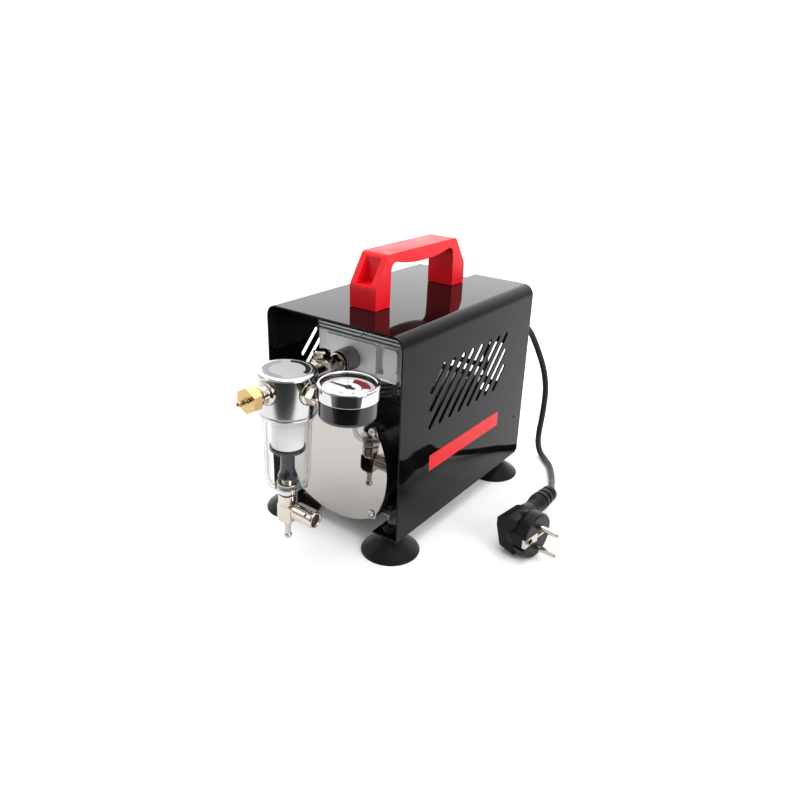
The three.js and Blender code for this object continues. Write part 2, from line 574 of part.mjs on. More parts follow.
function trapPieces() {
  const { x, y, radius, topZ, lowZ, portZ, spot } = trap;
  const at = [x, y, 0];
  const body = turned([
    [0, lowZ + 16], [17, lowZ + 16], [17, lowZ], [radius, lowZ], [radius, topZ - 2], [radius - 2, topZ],
    [17.8, topZ], [17.8, topZ - 1], [0, topZ - 1],
  ], 28, 'z', at);
  const port = [x, y, portZ];
  const ports = ['x', 'y', '-y'].map((axis) =>
    joined(rod(9.2, spot, radius + 2, 14, axis, port), rod(4.6, 0, spot + 1, 6, axis, port)));
  const gallery = rod(5, lowZ + 15, portZ + 2, 8, 'z', at);
  const headPiece = piece('trap_head', cut(body, gallery, ...ports), aluminium());
  const disc = rod(17.4, topZ - 0.7, topZ + 0.1, 24, 'z', at);
  const label = piece('trap_label_disc', disc, surface(0xdadada, 0.4, 0.1));

  const rim = lowZ - gap;
  const bowl = turned([
    [4.7, 47.2], [9.4, 47.2], [13.4, 48.6], [16.2, 52], [17.4, 58], [18.3, rim - 4], [20.2, rim - 3.4],
    [20.2, rim], [16.6, rim], [16.6, rim + 9], [14.8, rim + 9], [14.8, rim - 4.5], [16.3, rim - 8.5],
    [15.5, 58], [14.4, 53.6], [12, 50.6], [9.2, 49.3], [4.7, 49.3],
  ], 20, 'z', at);
  const filter = piece('filter_element', ring(4, 12.4, 83, 115, 16, 'z', at), surface(0xf0f0ee, 0.85, 0));
  const baffle = turned([
    [0, 55], [7.6, 55], [6.8, 58.4], [5.4, 63], [5.4, 79.6], [13.6, 79.6], [13.6, 82.7], [3.6, 82.7],
    [3.6, 119], [0, 119],
  ], 14, 'z', at);
  return [
    headPiece,
    label,
    piece('trap_bowl', bowl, glassMaterial()),
    filter,
    piece('baffle_stem', baffle, blackPlastic()),
    piece('bowl_ring', ring(4.9, 8.2, 40.9, 46.9, 16, 'z', at), chrome()),
    ...drainValve(),
  ];
}

function glassMaterial() {
  const clear = surface(0xe8eeee, 0.05, 0);
  clear.transparent = true;
  clear.opacity = 0.35;
  return clear;
}

// Nickel drain valve under the bowl: a nozzle that points down and a thumb knob along X.
function drainValve() {
  const { x, y } = trap;
  const { blockLow, blockTop, knobZ, knobStart, knobEnd } = drain;
  const at = [x, y, 0];
  const corner = (side, z, size) =>
    solid(new THREE.BoxGeometry(size, 12, size).rotateY(Math.PI / 4).translate(x + side, y, z));
  const block = cut(
    box(x - 7.2, x + 7.2, y - 4.9, y + 4.9, blockLow, blockTop),
    ...[-9.6, 9.6].map((side) => corner(side, blockTop + 2.4, 8)),
    ...[-8, 8].map((side) => corner(side, blockLow - 0.8, 6)),
  );
  const valve = joined(
    turned([
      [0, -0.3], [2.6, -0.3], [3.2, 0.9], [3.2, 3], [2.4, 4.4], [2.4, 10], [4.6, blockLow + 1], [0, blockLow + 1],
    ], 12, 'z', at),
    block,
    turned([
      [0, blockTop - 1], [6, blockTop - 1], [7.4, blockTop + 1.6], [7.4, 40.6], [4.4, 40.6], [4.4, 49.7],
      [8.4, 49.7], [8.4, 51], [4.2, 51], [4.2, 53.6], [0, 53.6],
    ], 12, 'z', at),
  );
  const body = cut(
    valve,
    rod(1.6, -1, 55, 6, 'z', at),
    rod(2.7, 2, 8, 8, 'x', [x, y, knobZ]),
  );
  const knobAt = [x, y, knobZ];
  const knob = cut(
    joined(
      rod(2.1, 2.8, 9, 8, 'x', knobAt),
      turned([
        [0, 7.5], [4.9, 7.5], [4.9, knobStart - 0.6], [7, knobStart], [7, knobEnd - 1], [6.3, knobEnd],
        [5, knobEnd], [5, knobEnd - 0.8], [0, knobEnd - 0.8],
      ], 14, 'x', knobAt),
    ),
    ...[0, 1, 2, 3].map((k) => {
      const turn = (k * Math.PI) / 2 + 0.9;
      const dimple = new THREE.CylinderGeometry(1.5, 1.5, 3, 6).translate(0, 6.8, 0).rotateX(turn);
      return solid(dimple.translate(x + knobEnd - 6, y, knobZ));
    }),
  );
  return [piece('drain_valve_body', body, nickel()), piece('drain_knob', knob, nickel())];
}

// A sleeve screwed into the head, a hexagon nut on it and a thin hose nipple through the nut.
function outletPieces() {
  const { nutBack, nutFront, nippleEnd } = outlet;
  const at = [trap.x, trap.y, trap.portZ];
  const start = trap.spot + gap;
  const adaptor = cut(
    joined(
      turned([
        [0, start], [8.8, start], [8.8, start + 2.6], [7, start + 4.4], [7, nutBack - 4.2], [0, nutBack - 4.2],
      ], 14, '-y', at),
      rod(4.7, nutBack - 4.4, nutFront - 4, 10, '-y', at),
    ),
    rod(2.6, start - 1, nutFront, 6, '-y', at),
  );
  const nut = cut(
    joined(
      turned([
        [0, nutBack - 3.6], [7.6, nutBack - 3.6], [7.6, nutBack - 0.4], [6.6, nutBack + 0.2], [0, nutBack + 0.2],
      ], 14, '-y', at),
      hexBar(17, nutBack, nutFront, '-y', at, Math.PI / 6),
      turned([[0, nutFront - 1], [3.2, nutFront - 1], [1.9, nutFront + 1.2], [1.9, nippleEnd], [0, nippleEnd]],
        10, '-y', at),
    ),
    rod(5.1, nutBack - 4, nutFront - 3.5, 10, '-y', at),
    rod(0.9, nutFront - 5, nippleEnd + 1, 6, '-y', at),
  );
  return [piece('outlet_adaptor', adaptor, nickel()), piece('outlet_nut', nut, brass())];
}

// ---------------------------------------------------------------- gauge
function gaugePieces() {
  const { x, y, baseZ, bezel, caseRadius, bezelLow, top } = gauge;
  const at = [x, y, baseZ];
  const start = trap.spot + gap;
  const stemEnd = x - trap.x - caseRadius - gap;
  const port = [trap.x, trap.y, trap.portZ];
  const stem = cut(
    joined(
      turned([[0, start], [8.8, start], [8.8, start + 2.6], [7, start + 3.4], [0, start + 3.4]], 14, 'x', port),
      hexBar(13, start + 3.2, 30, 'x', port),
      rod(4.6, 29, stemEnd, 10, 'x', port),
    ),
    rod(1.8, start - 1, stemEnd + 1, 6, 'x', port),
  );
  const seatZ = top - 5;
  const wall = caseRadius - 0.5;
  const caseBody = turned([
    [0, 0], [caseRadius - 1.2, 0], [caseRadius, 1.2], [caseRadius, bezelLow - gap], [wall, bezelLow - gap],
    [wall, top - 2.3], [wall - 0.6, top - 2.3], [wall - 0.6, seatZ], [wall - 1.9, seatZ], [wall - 1.9, 2], [0, 2],
  ], 28, 'z', at);
  const rim = turned([
    [wall + gap, bezelLow], [bezel, bezelLow], [bezel, top - 1.2], [bezel - 1.2, top], [wall - 1, top - 0.2],
    [wall - 1, top - 0.6], [wall + gap, top - 0.6],
  ], 28, 'z', at);
  const dial = rod(wall - 0.9, seatZ + gap, seatZ + gap + 0.8, 20, 'z', at);
  const lens = rod(wall - 0.1, top - 2, top - 0.9, 28, 'z', at);
  const needleZ = seatZ + 1.4;
  const needle = prismZ(polygon([[-1.1, -5], [1.1, -5], [1.3, 0], [0.35, 14], [-0.35, 14], [-1.3, 0]]),
    needleZ, needleZ + 0.6);
  const hub = rod(2.2, needleZ, needleZ + 1.1, 8);
  const pointer = piece('gauge_pointer', joined(needle, hub), surface(0x101010, 0.5, 0));
  pointer.rotation.z = THREE.MathUtils.degToRad(95);
  pointer.position.set(...at);
  return [
    piece('gauge_stem', stem, nickel()),
    piece('gauge_case', caseBody, blackPlastic()),
    piece('gauge_bezel', rim, chrome()),
    piece('gauge_dial', dial, surface(0xf4f4f4, 0.6, 0)),
    piece('gauge_lens', lens, glassMaterial()),
    pointer,
  ];
}

// ---------------------------------------------------------------- mains cord and plug
// The cord's centre line, from the strain relief down to the floor and round to the plug.
const cordRoute = [
  [48, 214.5, 124], [48.05, 221, 123.9], [48.4, 228, 122.6], [49.2, 235.4, 119], [51, 242.4, 112.6],
  [54.2, 248.2, 102], [58.6, 251.6, 90], [64, 253.2, 76.4], [68.2, 253.6, 62], [70.2, 253.2, 49], [70.8, 252, 35],
  [70.9, 250, 20], [71.2, 246.8, 6], [73.4, 242.8, -4.4], [78.6, 238, -11], [86.4, 231.8, -13.6],
  [97.2, 220.6, -13.7], [106, 206.6, -13.4], [112.8, 193, -11.6], [119, 178.6, -9], [125.4, 162.6, -4.6],
  [129.4, 152, 0.4], [131, 146.4, 2.2],
];

function cordPieces() {
  const { glandX, glandZ, y, thickness } = panel;
  const curve = new THREE.CatmullRomCurve3(cordRoute.map((point) => new THREE.Vector3(...point)));
  const section = new THREE.Shape();
  section.absarc(0, 0, cord.radius, 0, 2 * Math.PI);
  const along = { steps: 34, curveSegments: 4, extrudePath: curve, bevelEnabled: false };
  const tube = new THREE.ExtrudeGeometry(section, along);
  const face = y + thickness + gap;
  const gland = turned([
    [0, y - 4], [6, y - 4], [6, face], [8.8, face], [8.8, face + 2.2], [6.6, face + 3],
    [4.2, cord.exitY - gap], [0, cord.exitY - gap],
  ], 14, 'y', [glandX, 0, glandZ]);
  return [piece('cord_gland', gland, blackPlastic()), piece('power_cord', solid(tube), rubber())];
}

// Angled mains plug lying on its rim: pins along X, ribbed relief near Y. Local origin = middle of the back.
function plugPieces() {
  const { radius, faceX, earthY } = plug;
  const pinPlaces = [-9.5, 9.5];
  const round = turned([
    [0, 4], [15.6, 4], [17, 10], [radius, 13], [radius, faceX - 1.2], [radius - 1.2, faceX], [0, faceX],
  ], 20, 'x');
  const side = polygon([[-7, 4], [-2.4, -13], [12, -16.4], [12, 16.2], [2, 15.4], [-7, 12]]);
  const back = prismY(side, -15, 11);
  const relief = turned([
    [0, 6], [10.4, 6], [9.4, 16], [7, 30], [7.4, 38], [8.6, 45.6], [7, 46.6], [8.3, 48.4], [8, 53.4],
    [6.6, 54.4], [7.7, 56.2], [6.6, plugRelief.end], [0, plugRelief.end],
  ], 12, 'y', [plugRelief.x, 0, 0]).rotate([0, 0, plugRelief.turn]);
  const flats = [-1, 1].map((side) => box(6, faceX + 1, side * 19.6 - 2.6, side * 19.6 + 2.6, -6, 6));
  const sockets = pinPlaces.map((z) => rod(2.8, faceX - 6, faceX + 1, 8, 'x', [0, 0, z]));
  const recess = (y0, y1, half) => box(faceX - 0.9, faceX + 1, y0, y1, -half, half);
  const seats = [recess(-18, 0.3, 4.1), recess(-1, 18, 1.2), recess(16.2, 18, 4.1)];
  const earthHole = rod(2.9, faceX - 10, faceX + 1, 10, 'x', [0, earthY, 0]);
  const shape = cut(joined(round, back, relief), ...flats, ...sockets, ...seats, earthHole);
  const body = piece('plug_body', shape, blackPlastic());
  const pins = pinPlaces.map((z, k) => piece(`plug_pin_${k + 1}`, turned([
    [0, faceX - 5.6], [2.4, faceX - 5.6], [2.4, faceX + 17.6], [1.4, faceX + 19], [0, faceX + 19],
  ], 10, 'x', [0, 0, z]), chrome()));
  const clip = piece('earth_contact', earthStrip(), chrome());
  const group = new THREE.Group();
  group.add(body, ...pins, clip);
  group.rotation.z = THREE.MathUtils.degToRad(plug.yaw);
  group.position.set(plug.x, plug.y, floorZ + radius + 0.1);
  return group;
}

// One bent strip: a lip down each side of the plug, a plate with a round hole on the face and a narrow bridge.
function earthStrip() {
  const { faceX, earthY } = plug;
  const [inner, outer, back, under, over] = [17.3, 17.9, faceX - 2.6, faceX - 0.5, faceX + 0.1];
  const bent = prismZ(polygon([
    [back, -outer], [over, -outer], [over, outer], [back, outer],
    [back, inner], [under, inner], [under, -inner], [back, -inner],
  ]), -3.8, 3.8);
  const besideBridge = [-1, 1].map((side) => box(under - 1, over + 1, 0, 16.6, side * 3.9 - 3, side * 3.9 + 3));
  return cut(bent, ...besideBridge, rod(2.4, under - 1, over + 1, 12, 'x', [0, earthY, 0]));
}

// ---------------------------------------------------------------- assembly
// The trap, its outlet and the gauge hang on the tee's thread, which stops a little off the vertical:
// all of them are turned about the axis of that thread.
function leaningGroup() {
  const lean = THREE.MathUtils.degToRad(trap.lean);
  const pivot = new THREE.Vector3(trap.x, 0, trap.portZ);
  const group = new THREE.Group();
  group.rotation.y = lean;
  group.position.copy(pivot).sub(pivot.clone().applyAxisAngle(new THREE.Vector3(0, 1, 0), lean));
  group.add(...trapPieces(), ...outletPieces(), ...gaugePieces());
  return group;
}

const frontMost = trap.y - outlet.nippleEnd;
const rearMost = cord.exitY - gap;
const assembly = new THREE.Group();
assembly.name = 'airbrush_compressor';
assembly.position.set(0, -(rearMost + frontMost) / 2, foot.height);
assembly.add(
  housingShell(), ...feet(), handlePiece(), rearPanel(), ...powerSwitch(), ...rails(),
  crankcase(), crankcaseCover(), ...coverScrews(), ...crankTrain(), finnedCylinder(), valvePlate(),
  cylinderHead(), ...headScrews(), ...motorPieces(), ...airLine(), leaningGroup(), ...cordPieces(), plugPieces(),
);

const root = new THREE.Group();
root.add(assembly);
export default root;
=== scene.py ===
"""Airbrush compressor: fine surfaces, materials, floor, light and camera.

Lengths are in millimetres in the housing's frame (x from its mid plane, y from its front edge and
z from the underside of its flanges) and are turned into metres in the CAD frame by place().
"""

import math

import bmesh
import bpy
from mathutils import Matrix, Vector


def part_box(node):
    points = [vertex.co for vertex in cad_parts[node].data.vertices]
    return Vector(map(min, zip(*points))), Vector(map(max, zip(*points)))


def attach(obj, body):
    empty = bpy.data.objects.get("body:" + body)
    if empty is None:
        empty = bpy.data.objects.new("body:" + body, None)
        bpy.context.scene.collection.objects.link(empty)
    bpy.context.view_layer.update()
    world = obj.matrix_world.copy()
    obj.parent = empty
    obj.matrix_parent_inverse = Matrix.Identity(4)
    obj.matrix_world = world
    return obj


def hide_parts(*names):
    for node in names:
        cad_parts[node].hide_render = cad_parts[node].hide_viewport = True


MM = 0.001
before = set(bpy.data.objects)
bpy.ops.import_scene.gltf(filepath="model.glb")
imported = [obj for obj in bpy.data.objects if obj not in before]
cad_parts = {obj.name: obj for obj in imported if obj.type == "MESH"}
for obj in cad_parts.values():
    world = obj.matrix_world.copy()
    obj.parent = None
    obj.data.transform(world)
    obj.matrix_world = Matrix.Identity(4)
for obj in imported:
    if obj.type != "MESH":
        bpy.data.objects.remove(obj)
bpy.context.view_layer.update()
scene = bpy.context.scene

shell_low, shell_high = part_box("housing_shell")
HOME = Vector(((shell_low.x + shell_high.x) / 2, shell_low.y, shell_low.z))
WIDTH, LENGTH, HEIGHT = [side / MM for side in shell_high - shell_low]
FLOOR = shell_low.z / MM  # height of the flanges above the floor
GAP = 0.3  # clearance between pieces that touch in the CAD


def place(x, y, z):
    return HOME + Vector((x, y, z)) * MM


def new_object(name, data):
    made = bpy.data.objects.new(name, data)
    scene.collection.objects.link(made)
    return made


# ------------------------------------------------------------------ sizes
CORNERS = ((-1, -1), (1, -1), (-1, 1), (1, 1))

FLANGE, SHEET, BEND, CORNER = 24.6, 1.2, 9.8, 5
FOOT = {"x": 54, "front": 10.4, "rear": 180.6, "rim": 24.1}
SLOT = {
    "count": 10, "pitch": 14.5, "width": 4.6, "y0": 9, "low": 85, "high": 137, "front": 38, "rear": 160,
    "run": 0.96,
}
HANDLE = {
    "middle": 103.25, "half": 65.25, "width": 26, "knee": 188.5, "top": 212.6, "shoulder": 49.3,
    "inner": 46.3,
}
PANEL_Y = 191
SWITCH_X, SWITCH_Z = 12, 124
GLAND_X, GLAND_Z = 48, 124
CORD_RADIUS, CORD_EXIT_Y = 3, 214.5

CRANK_Z, CRANK_Y = 49.3, 60
DECK_Z, CYLINDER_TOP = 100, 117
COVER = {"front": 6, "thick": 1.6, "half": 51.7, "bulge": 70, "lug": 37, "lug_radius": 5}
LUGS = [(a * COVER["lug"], CRANK_Z + b * COVER["lug"]) for a, b in CORNERS]
HEAD = {"half": 41.6, "front": 31.5, "rear": 88, "low": 120.3, "top": 148.3, "stud_x": 33, "stud_y": 21}
STUDS = [(a * HEAD["stud_x"], CRANK_Y + b * HEAD["stud_y"]) for a, b in CORNERS]

AIR_X, AIR_Z = -4.5, 131
TRAP = {
    "x": -1.2, "y": -46.1, "radius": 22, "top": 144.3, "low": 110.5, "port": 132, "spot": 19.5, "lean": 2.2,
}
TRAP_AXIS = (TRAP["x"], TRAP["y"], 0)
PORT = (TRAP["x"], TRAP["y"], TRAP["port"])
DRAIN = {"low": 14.9, "top": 30.9, "knob_z": 28.2, "knob_start": 9.3, "knob_end": 29.7}
OUTLET = {"back": 33, "front": 40, "nipple": 47.5}

GAUGE = {
    "x": 55.4, "y": TRAP["y"], "base": 125.8, "bezel": 21.5, "case": 20.4, "bezel_low": 15.1, "top": 25.1,
}
GAUGE_AT = (GAUGE["x"], GAUGE["y"], GAUGE["base"])
GAUGE_WALL = GAUGE["case"] - 0.5
DIAL_TOP = GAUGE["top"] - 5 + GAP + 0.8
NEEDLE_ZERO, DIAL_SWEEP = 95, 270
DIAL_RED = (72, 152)

PLUG = {"x": 130.5, "y": 78, "radius": 19.4, "yaw": -8, "face": 23, "earth_y": -10}
RELIEF = {"x": -1.5, "end": 67, "turn": 6}
PIN_HEIGHTS = (-9.5, 9.5)


# ------------------------------------------------------------------ camera
def make_camera():
    azimuth, elevation, roll = (math.radians(angle) for angle in (35.2, 23.45, 1.94))
    data = bpy.data.cameras.new("camera")
    data.lens = 32.03
    data.sensor_width = 36.0
    camera = new_object("camera", data)
    turn = (
        Matrix.Rotation(azimuth, 4, "Z")
        @ Matrix.Rotation(math.pi / 2 - elevation, 4, "X")
        @ Matrix.Rotation(roll, 4, "Z")
    )
    camera.matrix_world = Matrix.Translation(place(338.7, -386.5, 328.5)) @ turn
    scene.camera = camera


# ------------------------------------------------------------------ outlines
def arc(centre, radius, start, end, count=8):
    """Points on an arc, both ends included. Angles in degrees."""
    angles = [math.radians(start + (end - start) * k / count) for k in range(count + 1)]
    return [(centre[0] + radius * math.cos(a), centre[1] + radius * math.sin(a)) for a in angles]


def rounded(a0, b0, a1, b1, radius, count=8):
    corners = [((a1, b1), 0), ((a0, b1), 90), ((a0, b0), 180), ((a1, b0), 270)]
    outline = []
    for (a, b), start in corners:
        inward = (math.copysign(radius, a0 + a1 - 2 * a), math.copysign(radius, b0 + b1 - 2 * b))
        outline += arc((a + inward[0], b + inward[1]), radius, start, start + 90, count)
    return outline


def hexagon(across, turn=0):
    radius = across / math.sqrt(3)
    return [
        (radius * math.cos(math.radians(turn + 60 * k)), radius * math.sin(math.radians(turn + 60 * k)))
        for k in range(6)
    ]


def softened(points, reach, closed, steps=3):
    """A polyline with each corner replaced by a short curve that starts at most reach before it."""
    count = len(points)
    result = []
    for k, here in enumerate(points):
        if not closed and k in (0, count - 1):
            result.append(here)
            continue
        before, after, here = Vector(points[k - 1]), Vector(points[(k + 1) % count]), Vector(here)
        length = min(reach, 0.45 * (before - here).length, 0.45 * (after - here).length)
        start = here + (before - here).normalized() * length
        end = here + (after - here).normalized() * length
        for step in range(steps + 1):
            t = step / steps
            result.append(tuple((1 - t) ** 2 * start + 2 * t * (1 - t) * here + t * t * end))
    return result


# ------------------------------------------------------------------ meshes
# Where a point (a, b) of an outline goes at the height h along an axis.
AXES = {
    "x": lambda a, b, h: (h, a, b),
    "y": lambda a, b, h: (b, h, a),
    "-y": lambda a, b, h: (a, -h, b),
    "z": lambda a, b, h: (a, b, h),
}
PLANES = {**AXES, "y": lambda a, b, h: (a, h, b)}


def mesh_of(points, faces):
    """A mesh in metres in the CAD frame from points in millimetres in the housing's frame."""
    mesh = bpy.data.meshes.new("shape")
    mesh.from_pydata([place(*point) for point in points], [], faces)
    work = bmesh.new()
    work.from_mesh(mesh)
    bmesh.ops.recalc_face_normals(work, faces=work.faces)
    work.to_mesh(mesh)
    work.free()
    return mesh


def moved(point, by):
    return [part + step for part, step in zip(point, by)]


def lathe(profile, axis="z", at=(0, 0, 0), steps=96, reach=0.3):
    """A turned body. The profile lists (radius, height); it closes on itself or on the axis."""
    on_axis = profile[0][0] == 0 and profile[-1][0] == 0
    line = softened(profile, reach, closed=not on_axis)
    points, rings = [], []
    for radius, height in line:
        count = 1 if radius == 0 else steps
        rings.append(list(range(len(points), len(points) + count)))
        for k in range(count):
            angle = 2 * math.pi * k / steps
            local = AXES[axis](radius * math.cos(angle), radius * math.sin(angle), height)
            points.append(moved(local, at))
    faces = []
    pairs = zip(rings, rings[1:] if on_axis else rings[1:] + rings[:1])
    for low, high in pairs:
        for k in range(steps):
            after = k + 1
            corners = [low[k % len(low)], low[after % len(low)], high[after % len(high)], high[k % len(high)]]
            face = list(dict.fromkeys(corners))
            if len(face) > 2:
                faces.append(face)
    return mesh_of(points, faces)


def rod(radius, start, end, axis="z", at=(0, 0, 0), steps=64, reach=0.3):
    return lathe([(0, start), (radius, start), (radius, end), (0, end)], axis, at, steps, reach)


def ring(inner, outer, start, end, axis="z", at=(0, 0, 0), steps=96, reach=0.3):
    return lathe([(inner, start), (outer, start), (outer, end), (inner, end)], axis, at, steps, reach)


def between(low, high):
    """The solid between two outlines with the same number of points."""
    count = len(low)
    sides = [(k, (k + 1) % count, (k + 1) % count + count, k + count) for k in range(count)]
    ends = [tuple(range(count))[::-1], tuple(range(count, 2 * count))]
    return mesh_of(low + high, sides + ends)


def prism(outline, axis, start, end):
    """An outline in (y, z) along x, in (x, z) along y or in (x, y) along z."""
    return between(*([PLANES[axis](a, b, height) for a, b in outline] for height in (start, end)))


def block(x0, x1, y0, y1, z0, z1):
    return prism([(x0, y0), (x1, y0), (x1, y1), (x0, y1)], "z", z0, z1)


def evaluated(shown):
    """The mesh of an object as its modifiers leave it."""
    graph = bpy.context.evaluated_depsgraph_get()
    return bpy.data.meshes.new_from_object(shown.evaluated_get(graph))


def boolean(mesh, tools, operation="DIFFERENCE"):
    """The mesh cut by, joined with or kept inside the tools, which are used up."""
    base = new_object("base", mesh)
    cutters = []
    for tool in tools:
        cutter = new_object("cutter", tool)
        cutters.append(cutter)
        modifier = base.modifiers.new("boolean", "BOOLEAN")
        modifier.operation = operation
        modifier.solver = "EXACT"
        modifier.object = cutter
    result = evaluated(base)
    for used in [base, *cutters]:
        bpy.data.objects.remove(used)
    return result


def joined(*meshes):
    """Several closed meshes as one, without merging them."""
    work = bmesh.new()
    for mesh in meshes:
        work.from_mesh(mesh)
    result = bpy.data.meshes.new("joined")
    work.to_mesh(result)
    work.free()
    return result


def hex_bar(across, start, end, axis, at, turn=0):
    """A hexagon bar whose corners are chamfered like those of a turned nut."""
    outline = hexagon(across, turn)
    bar = between(*([moved(AXES[axis](a, b, height), at) for a, b in outline] for height in (start, end)))
    corner = across / math.sqrt(3) + 0.05
    flat = across / 2 - 0.1
    rise = (corner - flat) * 0.55
    cone = lathe(
        [(0, start), (flat, start), (corner, start + rise), (corner, end - rise), (flat, end), (0, end)],
        axis, at, 72, 0,
    )
    return boolean(bar, [cone], "INTERSECT")


def bake(piece):
    """Turns the modifiers of a piece into its mesh."""
    piece.data = evaluated(piece)
    piece.modifiers.clear()


def add(name, mesh, material, nodes=(), body="housing", bevel=0.0, segments=3, sharp=38):
    """A shown piece: bevelled, smooth up to the sharp angle, riding on a body, in place of CAD nodes."""
    nodes = (nodes,) if isinstance(nodes, str) else nodes
    piece = new_object(name, mesh)
    if bevel:
        modifier = piece.modifiers.new("bevel", "BEVEL")
        modifier.width = bevel * MM
        modifier.segments = segments
        modifier.limit_method = "ANGLE"
        modifier.angle_limit = math.radians(30)
        bake(piece)
    piece.data.shade_smooth()
    piece.data.set_sharp_from_angle(angle=math.radians(sharp))
    even = piece.modifiers.new("even", "WEIGHTED_NORMAL")
    even.keep_sharp = True
    bake(piece)
    piece.data.materials.clear()
    piece.data.materials.append(material)
    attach(piece, body)
    if nodes:
        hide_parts(*nodes)
    return piece


def carried(node, material):
    """A CAD node that keeps its mesh and gets a better material."""
    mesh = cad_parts[node].data
    mesh.materials.clear()
    mesh.materials.append(material)


def turned_about(mesh, angle, axis, x, y, z):
    """A mesh drawn round the housing's origin, turned and then moved to (x, y, z)."""
    turn = Matrix.Rotation(angle, 4, axis)
    mesh.transform(Matrix.Translation(place(x, y, z)) @ turn @ Matrix.Translation(-place(0, 0, 0)))
    return mesh


def leaned(mesh):
    """The trap and what hangs on it, turned about the tee's thread by the trap's small lean."""
    pivot = place(TRAP["x"], 0, TRAP["port"])
    turn = Matrix.Rotation(math.radians(TRAP["lean"]), 4, "Y")
    mesh.transform(Matrix.Translation(pivot) @ turn @ Matrix.Translation(-pivot))
    return mesh


def copy_of(node):
    """The node's mesh with its flat faces joined up, ready for a bevel."""
    work = bmesh.new()
    work.from_mesh(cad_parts[node].data)
    bmesh.ops.remove_doubles(work, verts=work.verts, dist=0.01 * MM)
    bmesh.ops.dissolve_limit(
        work, angle_limit=math.radians(1), use_dissolve_boundaries=False,
        verts=work.verts, edges=work.edges,
    )
    mesh = bpy.data.meshes.new("copy")
    work.to_mesh(mesh)
    work.free()
    return mesh


def refined(name, node, material, bevel, body="housing"):
    """A CAD node that keeps its shape and gets bevelled edges."""
    add(name, copy_of(node), material, node, body, bevel=bevel)


# ------------------------------------------------------------------ materials
def new_node(tree, kind, **values):
    """A shader node with the given input values, the spaces in their names written as underscores."""
    made = tree.nodes.new(f"ShaderNode{kind}")
    for socket, value in values.items():
        made.inputs[socket.replace("_", " ")].default_value = value
    return made


def look(name, colour, roughness, metallic=0.0, mottle=0.06, mottle_scale=60, grain=0.05,
         grain_scale=1200, stretch=(1, 1, 1), uneven=0.05, specular=0.5, sheen=0.0):
    """A surface with slow changes of colour and gloss and a fine grain, both in object space."""
    material = bpy.data.materials.new(name)
    material.use_nodes = True
    tree = material.node_tree
    shader = tree.nodes["Principled BSDF"]
    shader.inputs["Metallic"].default_value = metallic
    shader.inputs["Specular IOR Level"].default_value = specular
    shader.inputs["Sheen Weight"].default_value = sheen

    where = new_node(tree, "TexCoord")
    mapping = new_node(tree, "Mapping", Scale=stretch)
    tree.links.new(where.outputs["Object"], mapping.inputs["Vector"])

    slow = new_node(tree, "TexNoise", Scale=mottle_scale, Detail=4)
    tree.links.new(mapping.outputs["Vector"], slow.inputs["Vector"])

    tint = new_node(tree, "Mix")
    tint.data_type = "RGBA"
    tint.inputs["A"].default_value = [part * (1 - mottle) for part in colour] + [1]
    tint.inputs["B"].default_value = [min(1, part * (1 + mottle)) for part in colour] + [1]
    tree.links.new(slow.outputs["Fac"], tint.inputs["Factor"])
    tree.links.new(tint.outputs["Result"], shader.inputs["Base Color"])

    low = max(0.01, roughness * (1 - uneven * 4))
    high = min(1.0, roughness * (1 + uneven * 4))
    gloss = new_node(tree, "MapRange", From_Min=0.3, From_Max=0.7, To_Min=low, To_Max=high)
    tree.links.new(slow.outputs["Fac"], gloss.inputs["Value"])
    tree.links.new(gloss.outputs["Result"], shader.inputs["Roughness"])

    fine = new_node(tree, "TexNoise", Scale=grain_scale, Detail=3)
    tree.links.new(mapping.outputs["Vector"], fine.inputs["Vector"])
    bump = new_node(tree, "Bump", Strength=grain, Distance=0.2 * MM)
    tree.links.new(fine.outputs["Fac"], bump.inputs["Height"])
    tree.links.new(bump.outputs["Normal"], shader.inputs["Normal"])
    return material


def clear_look(name, colour, thin, edge):
    """A clear material: it covers little where it is looked through and more along its edges."""
    material = look(name, colour, 0.03, mottle=0.01, grain=0.01)
    tree = material.node_tree
    facing = new_node(tree, "LayerWeight")
    cover = new_node(tree, "MapRange", From_Min=0.35, To_Min=thin, To_Max=edge)
    tree.links.new(facing.outputs["Facing"], cover.inputs["Value"])
    tree.links.new(cover.outputs["Result"], tree.nodes["Principled BSDF"].inputs["Alpha"])
    return material


enamel = look("black_enamel", (0.002, 0.002, 0.0025), 0.045, grain=0.008, grain_scale=500,
              specular=0.1)
red_plastic = look("red_plastic", (0.74, 0.004, 0.014), 0.42, grain=0.10, grain_scale=2500,
                   specular=0.25)
red_label = look("red_label", (0.58, 0.012, 0.018), 0.35, grain=0.03, grain_scale=900,
                 specular=0.12)
white_label = look("white_label", (0.50, 0.50, 0.49), 0.45, grain=0.03)
rubber = look("black_rubber", (0.003, 0.003, 0.0035), 0.34, mottle=0.2, grain=0.12, grain_scale=1800,
              specular=0.07, sheen=0.15)
black_plastic = look("black_plastic", (0.004, 0.004, 0.0045), 0.38, mottle=0.15, grain=0.12,
                     grain_scale=2600, specular=0.3)
gauge_plastic = look("gauge_plastic", (0.003, 0.003, 0.0035), 0.14, mottle=0.1, grain=0.04, grain_scale=1500)
cord_sheath = look("cord_sheath", (0.016, 0.0155, 0.016), 0.42, mottle=0.15, grain=0.08, grain_scale=1500,
                   specular=0.15)
plug_plastic = look("plug_plastic", (0.005, 0.005, 0.006), 0.36, mottle=0.15, grain=0.14, grain_scale=2200,
                    specular=0.12)
casting = look("black_casting", (0.014, 0.014, 0.016), 0.42, 0.2, mottle=0.25, grain=0.45, grain_scale=900)
grey_casting = look("grey_casting", (0.66, 0.67, 0.68), 0.42, 0.1, mottle=0.05, grain=0.22, grain_scale=1600)
